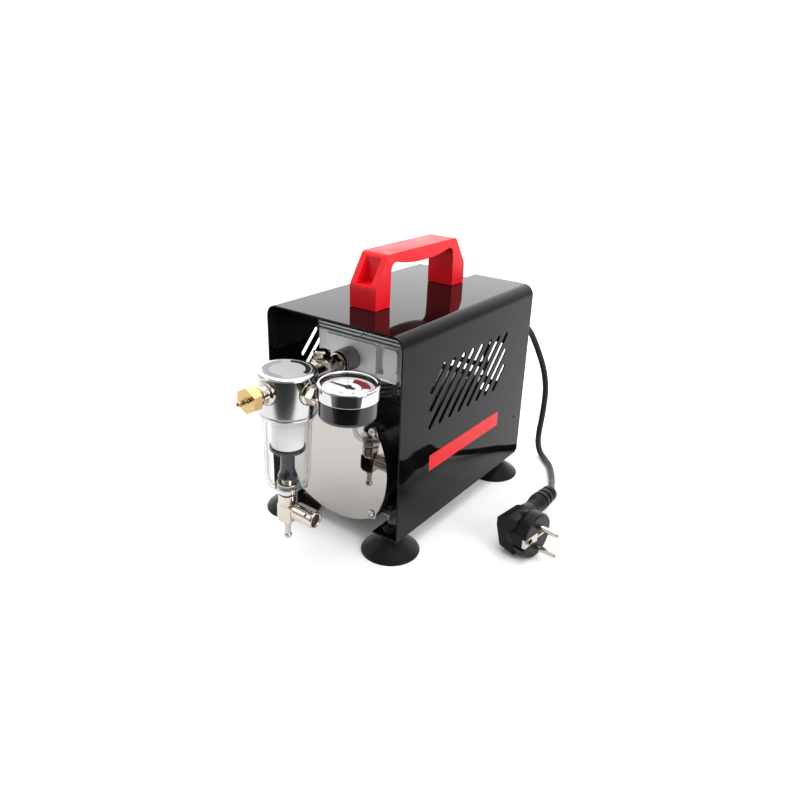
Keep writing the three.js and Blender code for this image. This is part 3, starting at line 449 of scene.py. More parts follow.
dark_casting = look("dark_casting", (0.26, 0.265, 0.28), 0.38, 0.6, mottle=0.1, grain=0.2, grain_scale=1600)
fins_dark = look("fins_dark", (0.20, 0.20, 0.21), 0.35, 0.2, mottle=0.15, grain=0.2)
mirror = look("mirror_steel", (0.37, 0.352, 0.335), 0.035, 1.0, mottle=0.01, grain=0.006, grain_scale=60)
steel = look("steel", (0.52, 0.52, 0.53), 0.28, 1.0, grain=0.06)
dark_steel = look("dark_steel", (0.07, 0.07, 0.075), 0.4, 0.9, mottle=0.2, stretch=(1, 30, 1), grain=0.4)
machined = look("machined_steel", (0.30, 0.30, 0.31), 0.3, 1.0, stretch=(1, 20, 1), grain=0.15)
grey_paint = look("grey_paint", (0.50, 0.49, 0.47), 0.4, 0.0, grain=0.1)
aluminium = look("polished_aluminium", (0.47, 0.465, 0.46), 0.15, 1.0, mottle=0.01, stretch=(1, 1, 40),
                 grain=0.02, grain_scale=300, uneven=0.0)
bare_aluminium = look("bare_aluminium", (0.62, 0.62, 0.63), 0.32, 1.0, grain=0.12)
nickel = look("nickel", (0.50, 0.455, 0.40), 0.15, 1.0, mottle=0.06, grain=0.04, grain_scale=700)
chrome = look("chrome", (0.49, 0.49, 0.50), 0.035, 1.0, mottle=0.01, grain=0.004)
brass = look("brass", (0.46, 0.33, 0.15), 0.22, 1.0, mottle=0.08, grain=0.08)
copper = look("copper_wire", (0.50, 0.17, 0.06), 0.35, 0.9, mottle=0.2, stretch=(1, 14, 1), grain=0.6,
              grain_scale=400)
clear_plastic = clear_look("clear_polycarbonate", (0.30, 0.32, 0.35), 0.02, 0.62)
clear_glass = clear_look("gauge_glass", (0.02, 0.02, 0.02), 0.03, 0.12)
filter_white = look("filter_white", (0.84, 0.84, 0.82), 0.8, grain=0.6, grain_scale=1500)
disc_white = look("disc_white", (0.29, 0.29, 0.29), 0.5, grain=0.03, specular=0.2)
dial_white = look("dial_white", (0.62, 0.62, 0.63), 0.5, mottle=0.01, grain=0.02)
dial_red = look("dial_red", (0.14, 0.008, 0.016), 0.6, grain=0.02, specular=0.1)
print_black = look("print_black", (0.006, 0.006, 0.006), 0.6, grain=0.03, specular=0.05)
label_grey = look("label_grey", (0.16, 0.16, 0.17), 0.5, 0.0, mottle=0.03, grain=0.03)
seal = look("seal", (0.03, 0.028, 0.025), 0.6)
fan_grey = look("fan_grey", (0.42, 0.43, 0.41), 0.5, grain=0.1)


# ------------------------------------------------------------------ cord and plug
CORD_ROUTE = [
    (48, 214.5, 124), (48.05, 221, 123.9), (48.4, 228, 122.6), (49.2, 235.4, 119), (51, 242.4, 112.6),
    (54.2, 248.2, 102), (58.6, 251.6, 90), (64, 253.1, 76.4), (68.2, 253.4, 62), (70.2, 253.1, 49),
    (70.8, 252, 35), (70.9, 250, 20), (71.2, 246.8, 6), (73.4, 242.8, -4.4), (78.6, 238, -11),
    (86.4, 231.8, -13.4), (97.2, 220.6, -13.4), (106, 206.6, -13.1), (112.8, 193, -11.6),
    (119, 178.6, -9), (125.4, 162.6, -4.6), (129.4, 152, 0.4), (131, 146.4, 2.2),
]


def curve_length(curve_object):
    """The length of the centre line, measured on a copy without thickness."""
    outline = curve_object.data.copy()
    outline.bevel_depth = 0
    probe = new_object("probe", outline)
    mesh = evaluated(probe)
    bpy.data.objects.remove(probe)
    spots = [vertex.co for vertex in mesh.vertices]
    return sum((spots[edge.vertices[0]] - spots[edge.vertices[1]]).length for edge in mesh.edges)


def make_cord(with_pieces):
    data = bpy.data.curves.new("cord_line", "CURVE")
    data.dimensions = "3D"
    data.bevel_depth = CORD_RADIUS * MM
    data.bevel_resolution = 6
    data.resolution_u = 10
    spline = data.splines.new("BEZIER")
    spline.bezier_points.add(len(CORD_ROUTE) - 1)
    for point, spot in zip(spline.bezier_points, CORD_ROUTE):
        point.co = place(*spot)
        point.handle_left_type = point.handle_right_type = "AUTO"
    data.materials.append(cord_sheath)
    cord = new_object("mains_cord", data)
    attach(cord, "housing")
    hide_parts("power_cord")
    curve_length(cord)


def make_gland():
    flange = PANEL_Y + 1.2 + GAP
    at = (GLAND_X, 0, GLAND_Z)
    profile = [
        (0, PANEL_Y - 4), (6, PANEL_Y - 4), (6, flange), (8.8, flange), (8.8, flange + 2.2),
        (6.6, flange + 3),
    ]
    taper_start, taper_end = flange + 3.6, CORD_EXIT_Y - GAP
    grooves = 5
    for k in range(grooves):
        middle = taper_start + (taper_end - taper_start) * (k + 0.6) / grooves
        radius = 6.5 + (4.3 - 6.5) * (middle - taper_start) / (taper_end - taper_start)
        profile += [
            (radius, middle - 0.9), (radius - 1, middle - 0.7), (radius - 1, middle + 0.4),
            (radius - 0.1, middle + 0.6),
        ]
    profile += [(4.2, taper_end), (0, taper_end)]
    return add("cord_boot", lathe(profile, "y", at), black_plastic, "cord_gland")


def in_plug(mesh):
    """Moves a mesh drawn round the plug's own origin to where the plug lies."""
    height = PLUG["radius"] + 0.1 - FLOOR
    return turned_about(mesh, math.radians(PLUG["yaw"]), "Z", PLUG["x"], PLUG["y"], height)


def plug_shape():
    """The round part with its wedge back and cord relief, less the flats, sockets and strip seat."""
    radius, face = PLUG["radius"], PLUG["face"]
    round_part = lathe([
        (0, 4), (15.6, 4), (17, 10), (radius, 13), (radius, face - 1.2), (radius - 1.2, face), (0, face),
    ], "x", reach=1.0)
    side = softened([(-7, 4), (-2.4, -13), (12, -16.4), (12, 16.2), (2, 15.4), (-7, 12)], 1.2, True)
    relief_profile = [(0, 6), (10.4, 6), (9.4, 16), (7, 30), (7.2, 36), (8.2, 42), (8.6, 45.4)]
    for k in range(3):
        start = 46 + 7.2 * k
        outer = 8.4 - 0.5 * k
        relief_profile += [
            (outer - 1.6, start), (outer - 1.6, start + 1.3), (outer, start + 1.8),
            (outer - 0.3, start + 6.6),
        ]
    relief_profile += [(6.4, RELIEF["end"]), (0, RELIEF["end"])]
    relief = lathe(relief_profile, "y", (RELIEF["x"], 0, 0), reach=0.6)
    relief = turned_about(relief, math.radians(RELIEF["turn"]), "Z", 0, 0, 0)
    shape = boolean(round_part, [prism(side, "y", -15, 11), relief], "UNION")
    hollows = [block(6, face + 1, edge * 19.6 - 2.6, edge * 19.6 + 2.6, -6, 6) for edge in (-1, 1)]
    hollows += [rod(2.8, face - 6, face + 1, "x", (0, 0, z), 32) for z in PIN_HEIGHTS]
    for y0, y1, half in ((-18, 0.3, 4.1), (-1, 18, 1.2), (16.2, 18, 4.1)):
        hollows.append(block(face - 0.9, face + 1, y0, y1, -half, half))
    hollows.append(rod(2.9, face - 10, face + 1, "x", (0, PLUG["earth_y"], 0), 32))
    return boolean(shape, hollows)


def earth_strip():
    """A lip down each side of the plug, a plate with a round hole on its face and a narrow bridge."""
    face = PLUG["face"]
    inner, outer, back, under, over = 17.3, 17.9, face - 2.6, face - 0.5, face + 0.1
    bent = prism([
        (back, -outer), (over, -outer), (over, outer), (back, outer),
        (back, inner), (under, inner), (under, -inner), (back, -inner),
    ], "z", -3.8, 3.8)
    gaps = [block(under - 1, over + 1, 0, 16.6, edge * 3.9 - 3, edge * 3.9 + 3) for edge in (-1, 1)]
    return boolean(bent, [*gaps, rod(2.4, under - 1, over + 1, "x", (0, PLUG["earth_y"], 0), 32)])


def make_plug():
    face = PLUG["face"]
    pieces = [add("plug_shape", in_plug(plug_shape()), plug_plastic, "plug_body", bevel=0.5)]
    for number, z in enumerate(PIN_HEIGHTS, 1):
        pin = lathe([
            (0, face - 5.6), (2.4, face - 5.6), (2.4, face + 17.4), (1.5, face + 19), (0, face + 19),
        ], "x", (0, 0, z), 40, 0.6)
        pieces.append(add(f"pin_{number}", in_plug(pin), nickel, f"plug_pin_{number}"))
    pieces.append(add("earth_clip", in_plug(earth_strip()), nickel, "earth_contact", bevel=0.12))
    return pieces


make_camera()
gland = make_gland()
make_cord([gland, *make_plug()])


# ------------------------------------------------------------------ housing
def slot_cutter(number):
    """A slanted slot with round ends, kept inside the field of slots."""
    start_y = SLOT["y0"] + number * SLOT["pitch"]
    radius = SLOT["width"] / 2
    low = max(SLOT["low"], SLOT["low"] + (SLOT["front"] - start_y) / SLOT["run"]) + radius
    high = min(SLOT["high"], SLOT["low"] + (SLOT["rear"] - start_y) / SLOT["run"]) - radius
    lean = math.degrees(math.atan2(1, SLOT["run"]))
    outline = []
    for z, turn in ((high, lean - 90), (low, lean + 90)):
        outline += arc((start_y + (z - SLOT["low"]) * SLOT["run"], z), radius, turn, turn + 180)
    return prism(outline, "x", -WIDTH, WIDTH)


def make_shell():
    side = WIDTH / 2
    left, right = (BEND - side, HEIGHT - BEND), (side - BEND, HEIGHT - BEND)
    section = [(FLANGE - side, 0), (-side, 0), *arc(left, BEND, 180, 90, 16), *arc(right, BEND, 90, 0, 16)]
    section += [(side, 0), (side - FLANGE, 0), (side - FLANGE, SHEET), (side - SHEET, SHEET)]
    section += [*arc(right, BEND - SHEET, 0, 90, 16), *arc(left, BEND - SHEET, 90, 180, 16)]
    section += [(SHEET - side, SHEET), (FLANGE - side, SHEET)]
    outline = [(0, -1), (0, HEIGHT + 1), (LENGTH, HEIGHT + 1)]
    outline += [*arc((LENGTH - CORNER, CORNER), CORNER, 0, -90, 10), (LENGTH - CORNER, -1)]
    bent = boolean(prism(section, "y", 0, LENGTH), [prism(outline, "x", -WIDTH, WIDTH)], "INTERSECT")
    holes = [
        rod(4.8, -1, 3, "z", (x, y, 0), 32, 0)
        for x in (-FOOT["x"], FOOT["x"]) for y in (FOOT["front"], FOOT["rear"])
    ]
    holes += [slot_cutter(k) for k in range(SLOT["count"])]
    holes.append(rod(1.3, -WIDTH, WIDTH, "x", (0, 189, 43.5), 20, 0))
    add("bent_housing", boolean(bent, holes), enamel, "housing_shell", bevel=0.3)

    strip = prism(rounded(41.5, 47, 155, 61, 0.6, 3), "x", side, side + 0.12)
    add("side_strip", strip, red_label)
    sticker = prism(rounded(-34, 186, 6, 203, 0.8, 3), "z", HEIGHT, HEIGHT + 0.1)
    add("top_sticker", sticker, white_label)


def bow(start, control, end, count=8):
    """Points on a quadratic curve after its start."""
    points = []
    for k in range(1, count + 1):
        t = k / count
        points.append(tuple(
            (1 - t) ** 2 * a + 2 * t * (1 - t) * b + t * t * c for a, b, c in zip(start, control, end)
        ))
    return points


def make_handle():
    half, inner, shoulder = HANDLE["half"], HANDLE["inner"], HANDLE["shoulder"]
    knee, top, middle = HANDLE["knee"], HANDLE["top"], HANDLE["middle"]
    base = HEIGHT + GAP
    right = [(0, 200.9), *bow((0, 200.9), (inner * 0.45, 200.9), (inner - 8, 205.2))]
    right += bow((inner - 8, 205.2), (inner - 1.6, 205.4), (inner - 0.8, 198))
    right += [(inner, base), (half, base), (half, knee - 3)]
    right += bow((half, knee - 3), (half, knee), (half - 1.7, knee + 2.6))
    right += [(shoulder + 1.6, top - 2.5)]
    right += bow((shoulder + 1.6, top - 2.5), (shoulder, top), (shoulder - 3, top))
    left = [(-y, z) for y, z in reversed(right[1:])]
    outline = [(middle + y, z) for y, z in right + left]
    pockets = []
    for end in (-1, 1):
        wall, opening = middle + end * (half - 13.8), middle + end * (half + 2)
        pockets.append(prism(
            rounded(-7.5, min(wall, opening), 7.5, max(wall, opening), 1.2, 4), "z", knee + 0.4, top - 2.2,
        ))
    body = boolean(prism(outline, "x", -HANDLE["width"] / 2, HANDLE["width"] / 2), pockets)
    add("grip", body, red_plastic, "handle", bevel=1.3, segments=4)


def make_feet():
    rim = FOOT["rim"]
    profile = [
        (0, -9.4), (13, -10.8), (19.5, -14), (22.9, -FLOOR), (rim, -FLOOR), (rim, 1.1 - FLOOR), (21.8, -13.6),
        (16.6, -9.9), (12.4, -7), (9.8, -4.8), (9.2, -3.4), (8.6, -GAP), (4.2, -GAP), (4.2, 1.5), (6.2, 1.5),
        (6.4, 2.4), (5.2, 4), (2.4, 4.3), (1.6, 3.4), (0, 3.3),
    ]
    for row in ("front", "rear"):
        for side, x in (("left", -FOOT["x"]), ("right", FOOT["x"])):
            cup = lathe(profile, "z", (x, FOOT[row], 0), reach=0.8)
            add(f"cup_{row}_{side}", cup, rubber, f"foot_{row}_{side}", sharp=50)


def make_rear_panel():
    side, top = WIDTH / 2 - SHEET - GAP, HEIGHT - SHEET - GAP
    through = ("y", PANEL_Y - 1, PANEL_Y + 3)
    sheet = prism(rounded(-side, 5, side, top, BEND - SHEET), "y", PANEL_Y, PANEL_Y + 1.2)
    vents = []
    for row in range(5):
        rise = -30 + 15 * row
        reach = math.sqrt(42 ** 2 - rise ** 2)
        vents.append(prism(rounded(-reach, CRANK_Z + rise - 4, reach, CRANK_Z + rise + 4, 3.9), *through))
    for left, low, right in ((-60.5, 74, -33.5), (-28, 89, 28), (33.5, 74, 60.5)):
        vents.append(prism(rounded(left, low, right, 113, 4), *through))
    vents.append(rod(6.3, PANEL_Y - 1, PANEL_Y + 3, "y", (GLAND_X, 0, GLAND_Z), 48, 0))
    vents.append(block(
        SWITCH_X - 9.8, SWITCH_X + 9.8, PANEL_Y - 1, PANEL_Y + 3, SWITCH_Z - 6.8, SWITCH_Z + 6.8,
    ))
    add("back_sheet", boolean(sheet, vents), enamel, "rear_panel", bevel=0.25)


make_shell()
make_handle()
make_feet()
make_rear_panel()
refined("switch_bezel", "switch_frame", black_plastic, 0.5)
refined("switch_key", "rocker_switch", black_plastic, 0.4, "rocker")
refined("rail_left", "mount_rail_left", grey_paint, 0.3)
refined("rail_right", "mount_rail_right", grey_paint, 0.3)


# ------------------------------------------------------------------ compressor
def cover_outline(offset=0):
    """A square with bulging sides and a round lug at each corner."""
    big, small = COVER["bulge"] + offset, COVER["lug_radius"] + offset
    centre, lug = COVER["bulge"] - COVER["half"], COVER["lug"]
    apart = math.hypot(lug + centre, lug)
    spread = math.acos((big ** 2 + apart ** 2 - small ** 2) / (2 * big * apart))
    at_big = math.atan2(lug, lug + centre) - spread
    meet = (big * math.cos(at_big) - centre, big * math.sin(at_big))
    at_lug = math.degrees(math.atan2(meet[1] - lug, meet[0] - lug))
    quarter = arc((-centre, 0), big, -math.degrees(at_big), math.degrees(at_big), 18)
    quarter += arc((lug, lug), small, at_lug, 90 - at_lug, 10)
    outline = []
    for side in range(4):
        cosine, sine = round(math.cos(side * math.pi / 2)), round(math.sin(side * math.pi / 2))
        outline += [(a * cosine - b * sine, a * sine + b * cosine + CRANK_Z) for a, b in quarter]
    return outline


def make_crankcase():
    front = COVER["front"] + COVER["thick"] + GAP
    axis = (0, 0, CRANK_Z)
    chamber = rod(40, front - 1, 78, "y", axis, 96, 0)
    flange = boolean(prism(cover_outline(-0.6), "y", front, front + 8), [chamber])
    add("crankcase_flange", flange, casting, "crankcase", bevel=0.8)
    drum = lathe([
        (40, front + 7), (50, front + 7), (46, 60), (44, 84), (11.3, 84), (11.3, 78), (40, 78),
    ], "y", axis, reach=1.5)
    add("crankcase_drum", drum, casting)
    throat = rod(16, CRANK_Z, DECK_Z + 1, "z", (0, CRANK_Y, 0), 64, 0)
    chamber = rod(40.2, front - 1, 78, "y", axis, 96, 0)
    deck = boolean(block(-42, 42, HEAD["front"] - 1, 86, 84, DECK_Z), [throat, chamber])
    add("crankcase_deck", deck, casting, bevel=0.8)
    for side, x in (("left", -46), ("right", 20)):
        pad = block(x, x + 26, 22, 80, 9.3, 15)
        add(f"crankcase_pad_{side}", pad, casting, bevel=0.8)
    for number, (across, up) in enumerate(CORNERS, 1):
        post = rod(4, 80, 98 - GAP, "y", (32 * across, 0, CRANK_Z + 32 * up), 40)
        add(f"motor_post_{number}", post, casting)


def make_cover():
    back = COVER["front"] + COVER["thick"]
    plate = boolean(
        prism(cover_outline(), "y", COVER["front"], back),
        [rod(2, 0, 20, "y", (x, 0, z), 32, 0) for x, z in LUGS],
    )
    add("mirror_cover", plate, mirror, "crankcase_cover", bevel=0.35)
    for number, (x, z) in enumerate(LUGS, 1):
        top = COVER["front"] - GAP
        at = (x, 0, z)
        head = lathe([
            (0, top - 2.4), (1.4, top - 2.35), (2.4, top - 1.9), (3.1, top - 1), (3.4, top), (1.5, top),
            (1.5, top + 8), (0, top + 8),
        ], "y", at, 48, 0.2)
        crosses = []
        for turn in (45, 135):
            bar = block(-1.9, 1.9, top - 3, top - 1.1, -0.4, 0.4)
            crosses.append(turned_about(bar, math.radians(turn), "Y", x, 0, z))
        add(f"cross_screw_{number}", boolean(head, crosses), steel, f"cover_screw_{number}", bevel=0.06)


def make_cylinder():
    floor = DECK_Z + GAP
    profile = [(14.3, floor), (31, floor), (31, floor + 2.6), (20, floor + 2.6)]
    for fin in range(2):
        z = floor + 5.4 + fin * 4.4
        profile += [(20, z), (35, z), (35, z + 1.6), (20, z + 1.6)]
    profile += [(20, CYLINDER_TOP - 2.6), (37, CYLINDER_TOP - 2.6), (37, CYLINDER_TOP), (14.3, CYLINDER_TOP)]
    body = boolean(
        lathe(profile, "z", (0, CRANK_Y, 0)),
        [rod(3, DECK_Z - 2, CYLINDER_TOP + 1, "z", (x, y, 0), 24, 0) for x, y in STUDS],
    )
    add("finned_barrel", body, fins_dark, "cylinder")
    low, high = CYLINDER_TOP + GAP, HEAD["low"] - GAP
    half = HEAD["half"] - 1
    plate = prism(rounded(-half, HEAD["front"] + 1, half, HEAD["rear"] - 1, 6), "z", low, high)
    add("valve_sheet", plate, steel, "valve_plate", bevel=0.3)


def make_head():
    half, front, rear, low, top = (HEAD[key] for key in ("half", "front", "rear", "low", "top"))
    groove = block(AIR_X + 25.6, 26.6, front - 3, front + 5, low + 3, top - 1.2)
    chamber = rod(12, low - 1, low + 15, "z", (0, CRANK_Y, 0), 48, 0)
    core = boolean(prism(rounded(-half, front, half, rear, 3), "z", low, top), [groove, chamber])
    add("head_block", core, grey_casting, "cylinder_head", bevel=0.7)
    plates = {
        "head_front_plate": rounded(AIR_X - 27.5, low + 1, AIR_X + 25.2, top - 1.6, 3),
        "head_side_plate": rounded(27, low + 7, half - 0.6, top - 1.6, 3),
    }
    for name, outline in plates.items():
        add(name, prism(outline, "y", front - 1.6, front + 1), grey_casting, bevel=0.6)
    ridge = block(-20, 20, front + 10, rear - 8, top - 1, top + 5)
    add("head_core", ridge, grey_casting, bevel=0.4)
    for row in range(2):
        z = top + 1.6 + 2.9 * row
        slit = 3 + 2.4 * row
        wells = [rod(4.6, z - 2, z + 3, "z", (x, y, 0), 32, 0) for x, y in STUDS]
        fin = boolean(
            block(1 - half, half, front + 1, rear - 1, z, z + 1.2),
            [*wells, block(slit, slit + 1.6, front, front + 8, z - 1, z + 3)],
        )
        add(f"head_fin_{row + 1}", fin, grey_casting, bevel=0.3)
    boss = ring(5.3, 9.6, -front - 1, 15 - front, "-y", (AIR_X, 0, AIR_Z))
    add("head_boss", boss, dark_casting)
    for number, (x, y) in enumerate(STUDS, 1):
        screw = lathe([
            (0, 92), (2, 92), (2, top + GAP), (3.6, top + GAP), (3.6, top + 4.2), (0, top + 4.2),
        ], "z", (x, y, 0), 48)
        socket = hex_bar(3, top + 1.8, top + 5, "z", (x, y, 0))
        add(f"cap_screw_{number}", boolean(screw, [socket]), dark_steel, f"head_screw_{number}")


make_crankcase()
make_cover()
make_cylinder()
make_head()
refined("crank_web", "crank_disc", machined, 0.4, "rotor")
refined("rod_and_piston", "connecting_rod_piston", bare_aluminium, 0.4, "piston")
carried("piston_seal", seal)


# ------------------------------------------------------------------ motor
def make_motor():
    axis = (0, 0, CRANK_Z)
    outline = rounded(-40, CRANK_Z - 40, 40, CRANK_Z + 40, 12)
    stack = boolean(prism(outline, "y", 98, 150), [rod(22.2, 97, 151, "y", axis, 72, 0)])
    add("stator_stack", stack, dark_steel, "motor_stator", bevel=0.5)
    coil = [(23.5, 88), (32, 88), (34, 90), (34, 98 - GAP), (23.5, 98 - GAP)]
    add("winding_front", lathe(coil, "y", axis, reach=1.5), copper, "motor_winding")
    rear_coil = [(radius, 248 - height) for radius, height in coil]
    add("winding_rear", lathe(rear_coil, "y", axis, reach=1.5), copper)
    add("rotor_stack", ring(4.3, 21.5, 99, 149, "y", axis), machined, "rotor_core", body="rotor")
    shaft = lathe([(0, 68.4), (3.5, 68.4), (4, 69), (4, 187), (0, 187)], "y", axis, 48)
    add("rotor_shaft", shaft, steel, "motor_shaft", body="rotor")
    for name, start in (("bearing_front", 78.4), ("bearing_rear", 163.4)):
        races = [
            (4.3, start), (6.4, start), (6.6, start + 0.5), (8.6, start + 0.5), (8.8, start), (11, start),
            (11, start + 5.2), (4.3, start + 5.2),
        ]
        add(f"{name}_races", lathe(races, "y", axis), steel, name)
    refined("end_bell", "motor_end_bell", bare_aluminium, 0.6)
    refined("fan_wheel", "cooling_fan", fan_grey, 0.35, "rotor")


make_motor()


# ------------------------------------------------------------------ air line and moisture trap
def fitting(name, mesh, nodes=(), bevel=0.0):
    """A nickel-plated piece of the air line."""
    add(name, mesh, nickel, nodes, bevel=bevel)


def make_air_line():
    at = (AIR_X, 0, AIR_Z)
    nut = -14.6
    collar = lathe([
        (3, nut - 8), (5, nut - 8), (5, nut - 1.6), (8.8, nut - 1.6), (9.2, nut), (8.4, nut + 2.6),
        (3, nut + 2.6),
    ], "-y", at)
    fitting("fitting_collar", collar, "outlet_fitting")
    fitting("fitting_hexagon", hex_bar(14, nut + 2.6, nut + 9, "-y", at, 30), bevel=0.15)
    fitting("fitting_thread", lathe(thread(5.2, nut + 9, -1), "-y", at))
    rear = TRAP["spot"] + GAP
    branch = lathe([
        (5.8, -4.8), (8.2, -4.8), (8.2, 10.4), (7.4, 12), (0, 12), (0, 0), (5.8, 0),
    ], "-y", at, reach=0.6)
    fitting("tee_barrel", branch, "tee_body")
    fitting("tee_upright", hex_bar(15, AIR_Z, AIR_Z + 8, "z", (AIR_X, -5, 0)), bevel=0.15)
    fitting("tee_tube", rod(5.6, rear + 5, -9 - TRAP["y"], "y", PORT))
    collar = lathe([(0, rear), (8.8, rear), (8.8, rear + 2.6), (7, rear + 5.6), (0, rear + 5.6)], "y", PORT)
    fitting("tee_collar", collar)
    low = AIR_Z + 8 + GAP
    cap_at = (AIR_X, -5, 0)
    fitting("cap_washer", rod(8, low, low + 1.2, "z", cap_at), "tee_plug")
    fitting("cap_hexagon", hex_bar(13, low + 1.2, low + 6, "z", cap_at, 17), bevel=0.15)
    crown = lathe([(0, low + 6), (5.8, low + 6), (4.6, low + 7.4), (0, low + 7.4)], "z", cap_at, 64)
    fitting("cap_crown", crown)


def thread(radius, start, end, pitch=0.9, depth=0.45):
    """A turned outline with a groove for each turn of the thread."""
    profile = [(0, start)]
    turns = int(abs(end - start) / pitch)
    step = (end - start) / turns
    for k in range(turns):
        profile += [(radius, start + step * (k + 0.05)), (radius - depth, start + step * (k + 0.5))]
    return profile + [(radius, end), (0, end)]


def make_trap_head():
    radius, top, low, spot = (TRAP[key] for key in ("radius", "top", "low", "spot"))
    body = lathe([
        (0, low + 16), (17, low + 16), (17, low), (radius - 0.5, low), (radius, low + 0.5),
        (radius, low + 2.2), (radius - 0.5, low + 2.5), (radius - 0.5, low + 3), (radius, low + 3.3),
        (radius, top - 2), (radius - 0.7, top - 0.7), (radius - 2, top), (17.8, top), (17.8, top - 1),
        (0, top - 1),
    ], "z", TRAP_AXIS, 128)
    ports = []
    for axis in ("x", "y", "-y"):
        ports.append(rod(9.2, spot, radius + 2, axis, PORT, 72, 0))
        ports.append(rod(4.6, 6, spot + 1, axis, PORT, 48, 0))
    add("trap_cap", leaned(boolean(body, ports)), aluminium, "trap_head", bevel=0.2)
    disc = rod(17.4, top - 0.7, top + 0.04, "z", TRAP_AXIS, 96, 0.1)
    add("trap_disc", leaned(disc), disc_white, "trap_label_disc")
    bands = (("dark", 10, 125, print_black), ("grey", 150, 300, label_grey))
    for name, start, end, material in bands:
        band = arc(TRAP_AXIS, 16.8, start, end, 40) + arc(TRAP_AXIS, 13, end, start, 40)
        add(f"trap_disc_band_{name}", leaned(prism(band, "z", top, top + 0.09)), material)


def make_bowl():
    rim = TRAP["low"] - GAP
    bowl = lathe([
        (4.7, 47.2), (9.4, 47.2), (13.4, 48.6), (16.2, 52), (17.4, 58), (18.3, rim - 4), (20.2, rim - 3.4),
        (20.2, rim), (16.6, rim), (16.6, rim + 9), (14.8, rim + 9), (14.8, rim - 4.5), (16.3, rim - 8.5),
        (15.5, 58), (14.4, 53.6), (12, 50.6), (9.2, 49.3), (4.7, 49.3),
    ], "z", TRAP_AXIS, 128, 2.2)
    add("clear_bowl", leaned(bowl), clear_plastic, "trap_bowl")
    tube = ring(4, 12.4, 83, 115, "z", TRAP_AXIS, reach=0.6)
    add("filter_tube", leaned(tube), filter_white, "filter_element")
    baffle = lathe([
        (0, 55), (6.8, 55), (7.6, 55.8), (7.4, 57), (6.8, 58.4), (5.8, 61), (5.4, 64), (5.4, 79.2),
        (6.2, 79.6), (13.2, 79.6), (13.6, 80.2), (13.6, 82.7), (3.6, 82.7), (3.6, 119), (0, 119),
    ], "z", TRAP_AXIS)
    add("baffle_disc", leaned(baffle), gauge_plastic, "baffle_stem")
    seat = lathe([(4.9, 41), (7, 41), (8.2, 43), (8.2, 46.9), (4.9, 46.9)], "z", TRAP_AXIS, reach=0.8)
    add("bowl_seat_ring", leaned(seat), chrome, "bowl_ring")


def make_drain():
    x, y, _ = TRAP_AXIS
    low, top, knob_z, start, end = (DRAIN[key] for key in ("low", "top", "knob_z", "knob_start", "knob_end"))
    nozzle = lathe([
        (1.3, -0.3), (2.6, -0.3), (3.2, 0.9), (3.2, 2.6), (2.4, 3.8), (2.4, 10), (3.2, 12.6), (4.6, low + 1),
        (1.3, low + 1),
    ], "z", TRAP_AXIS, 64, 0.5)
    fitting("drain_nozzle", leaned(nozzle), "drain_valve_body")
    corners = []
    for side in (-1, 1):
        for half, out, z in ((4, 9.6, top + 2.4), (3, 8, low - 0.8)):
            corner = block(-half, half, -6, 6, -half, half)
            corners.append(turned_about(corner, math.pi / 4, "Y", x + side * out, y, z))
    core = boolean(block(x - 7.2, x + 7.2, y - 4.9, y + 4.9, low, top), corners)
    fitting("drain_block", leaned(core), bevel=0.5)
    neck = lathe([
        (0, top - 1), (6, top - 1), (7.4, top + 1.6), (7.4, 40.6), (4.4, 40.6), (4.4, 49.7), (8.4, 49.7),
        (8.4, 51), (4.2, 51), (4.2, 53.6), (0, 53.6),
    ], "z", TRAP_AXIS, 72, 0.4)
    fitting("drain_neck", leaned(neck))
    fitting("drain_collar", leaned(ring(2.9, 4.6, 7.3, 9, "x", (x - 0.6, y, knob_z))))
    knob = lathe([
        (0, 2.8), (2.1, 2.8), (2.1, 8.6), (4.9, 8.6), (4.9, start), (6.4, start), (7, start + 0.8),
        (7, end - 1.2), (6.3, end), (5.2, end), (5, end - 0.8), (0, end - 0.8),
    ], "x", (x, y, knob_z), 96, 0.4)
    dimples, first_dimple = [], 0.9
    for k in range(4):
        turn = k * math.pi / 2 + first_dimple
        dimple = rod(1.5, 5.3, 8.3, steps=32, reach=0)
        dimples.append(turned_about(dimple, turn - math.pi / 2, "X", x + end - 6, y, knob_z))
    add("drain_grip", leaned(boolean(knob, dimples)), nickel, "drain_knob", body="knob", bevel=0.1)


def make_outlet():
    back, front, nipple = OUTLET["back"], OUTLET["front"], OUTLET["nipple"]
    start = TRAP["spot"] + GAP
    sleeve = lathe([
        (0, start), (8.8, start), (8.8, start + 2.6), (7, start + 4.4), (7, back - 4.2), (0, back - 4.2),
    ], "-y", PORT, reach=0.5)
    fitting("outlet_sleeve", leaned(sleeve), "outlet_adaptor")
    fitting("outlet_thread", leaned(lathe(thread(4.7, back - 4.4, front - 4), "-y", PORT, 64, 0.1)))
    collar = lathe([
        (5.1, back - 3.6), (7.2, back - 3.6), (7.6, back - 3), (7.6, back - 0.8), (6.6, back), (5.1, back),
    ], "-y", PORT)
    add("nut_collar", leaned(collar), brass)
    nut = boolean(
        hex_bar(17, back, front, "-y", PORT, 30),
        [rod(5.1, back - 4, front - 3.5, "-y", PORT, 48, 0)],
    )
    add("nut_hexagon", leaned(nut), brass, "outlet_nut", bevel=0.2)
    spout = lathe([
        (0.9, front - 0.6), (3.2, front - 0.6), (3.2, front + 0.2), (1.9, front + 1.6), (1.9, nipple - 0.3),
        (1.6, nipple), (0.9, nipple),
    ], "-y", PORT, 48, 0.2)
    add("hose_nipple", leaned(spout), brass)


make_air_line()
make_trap_head()
make_bowl()
make_drain()
make_outlet()


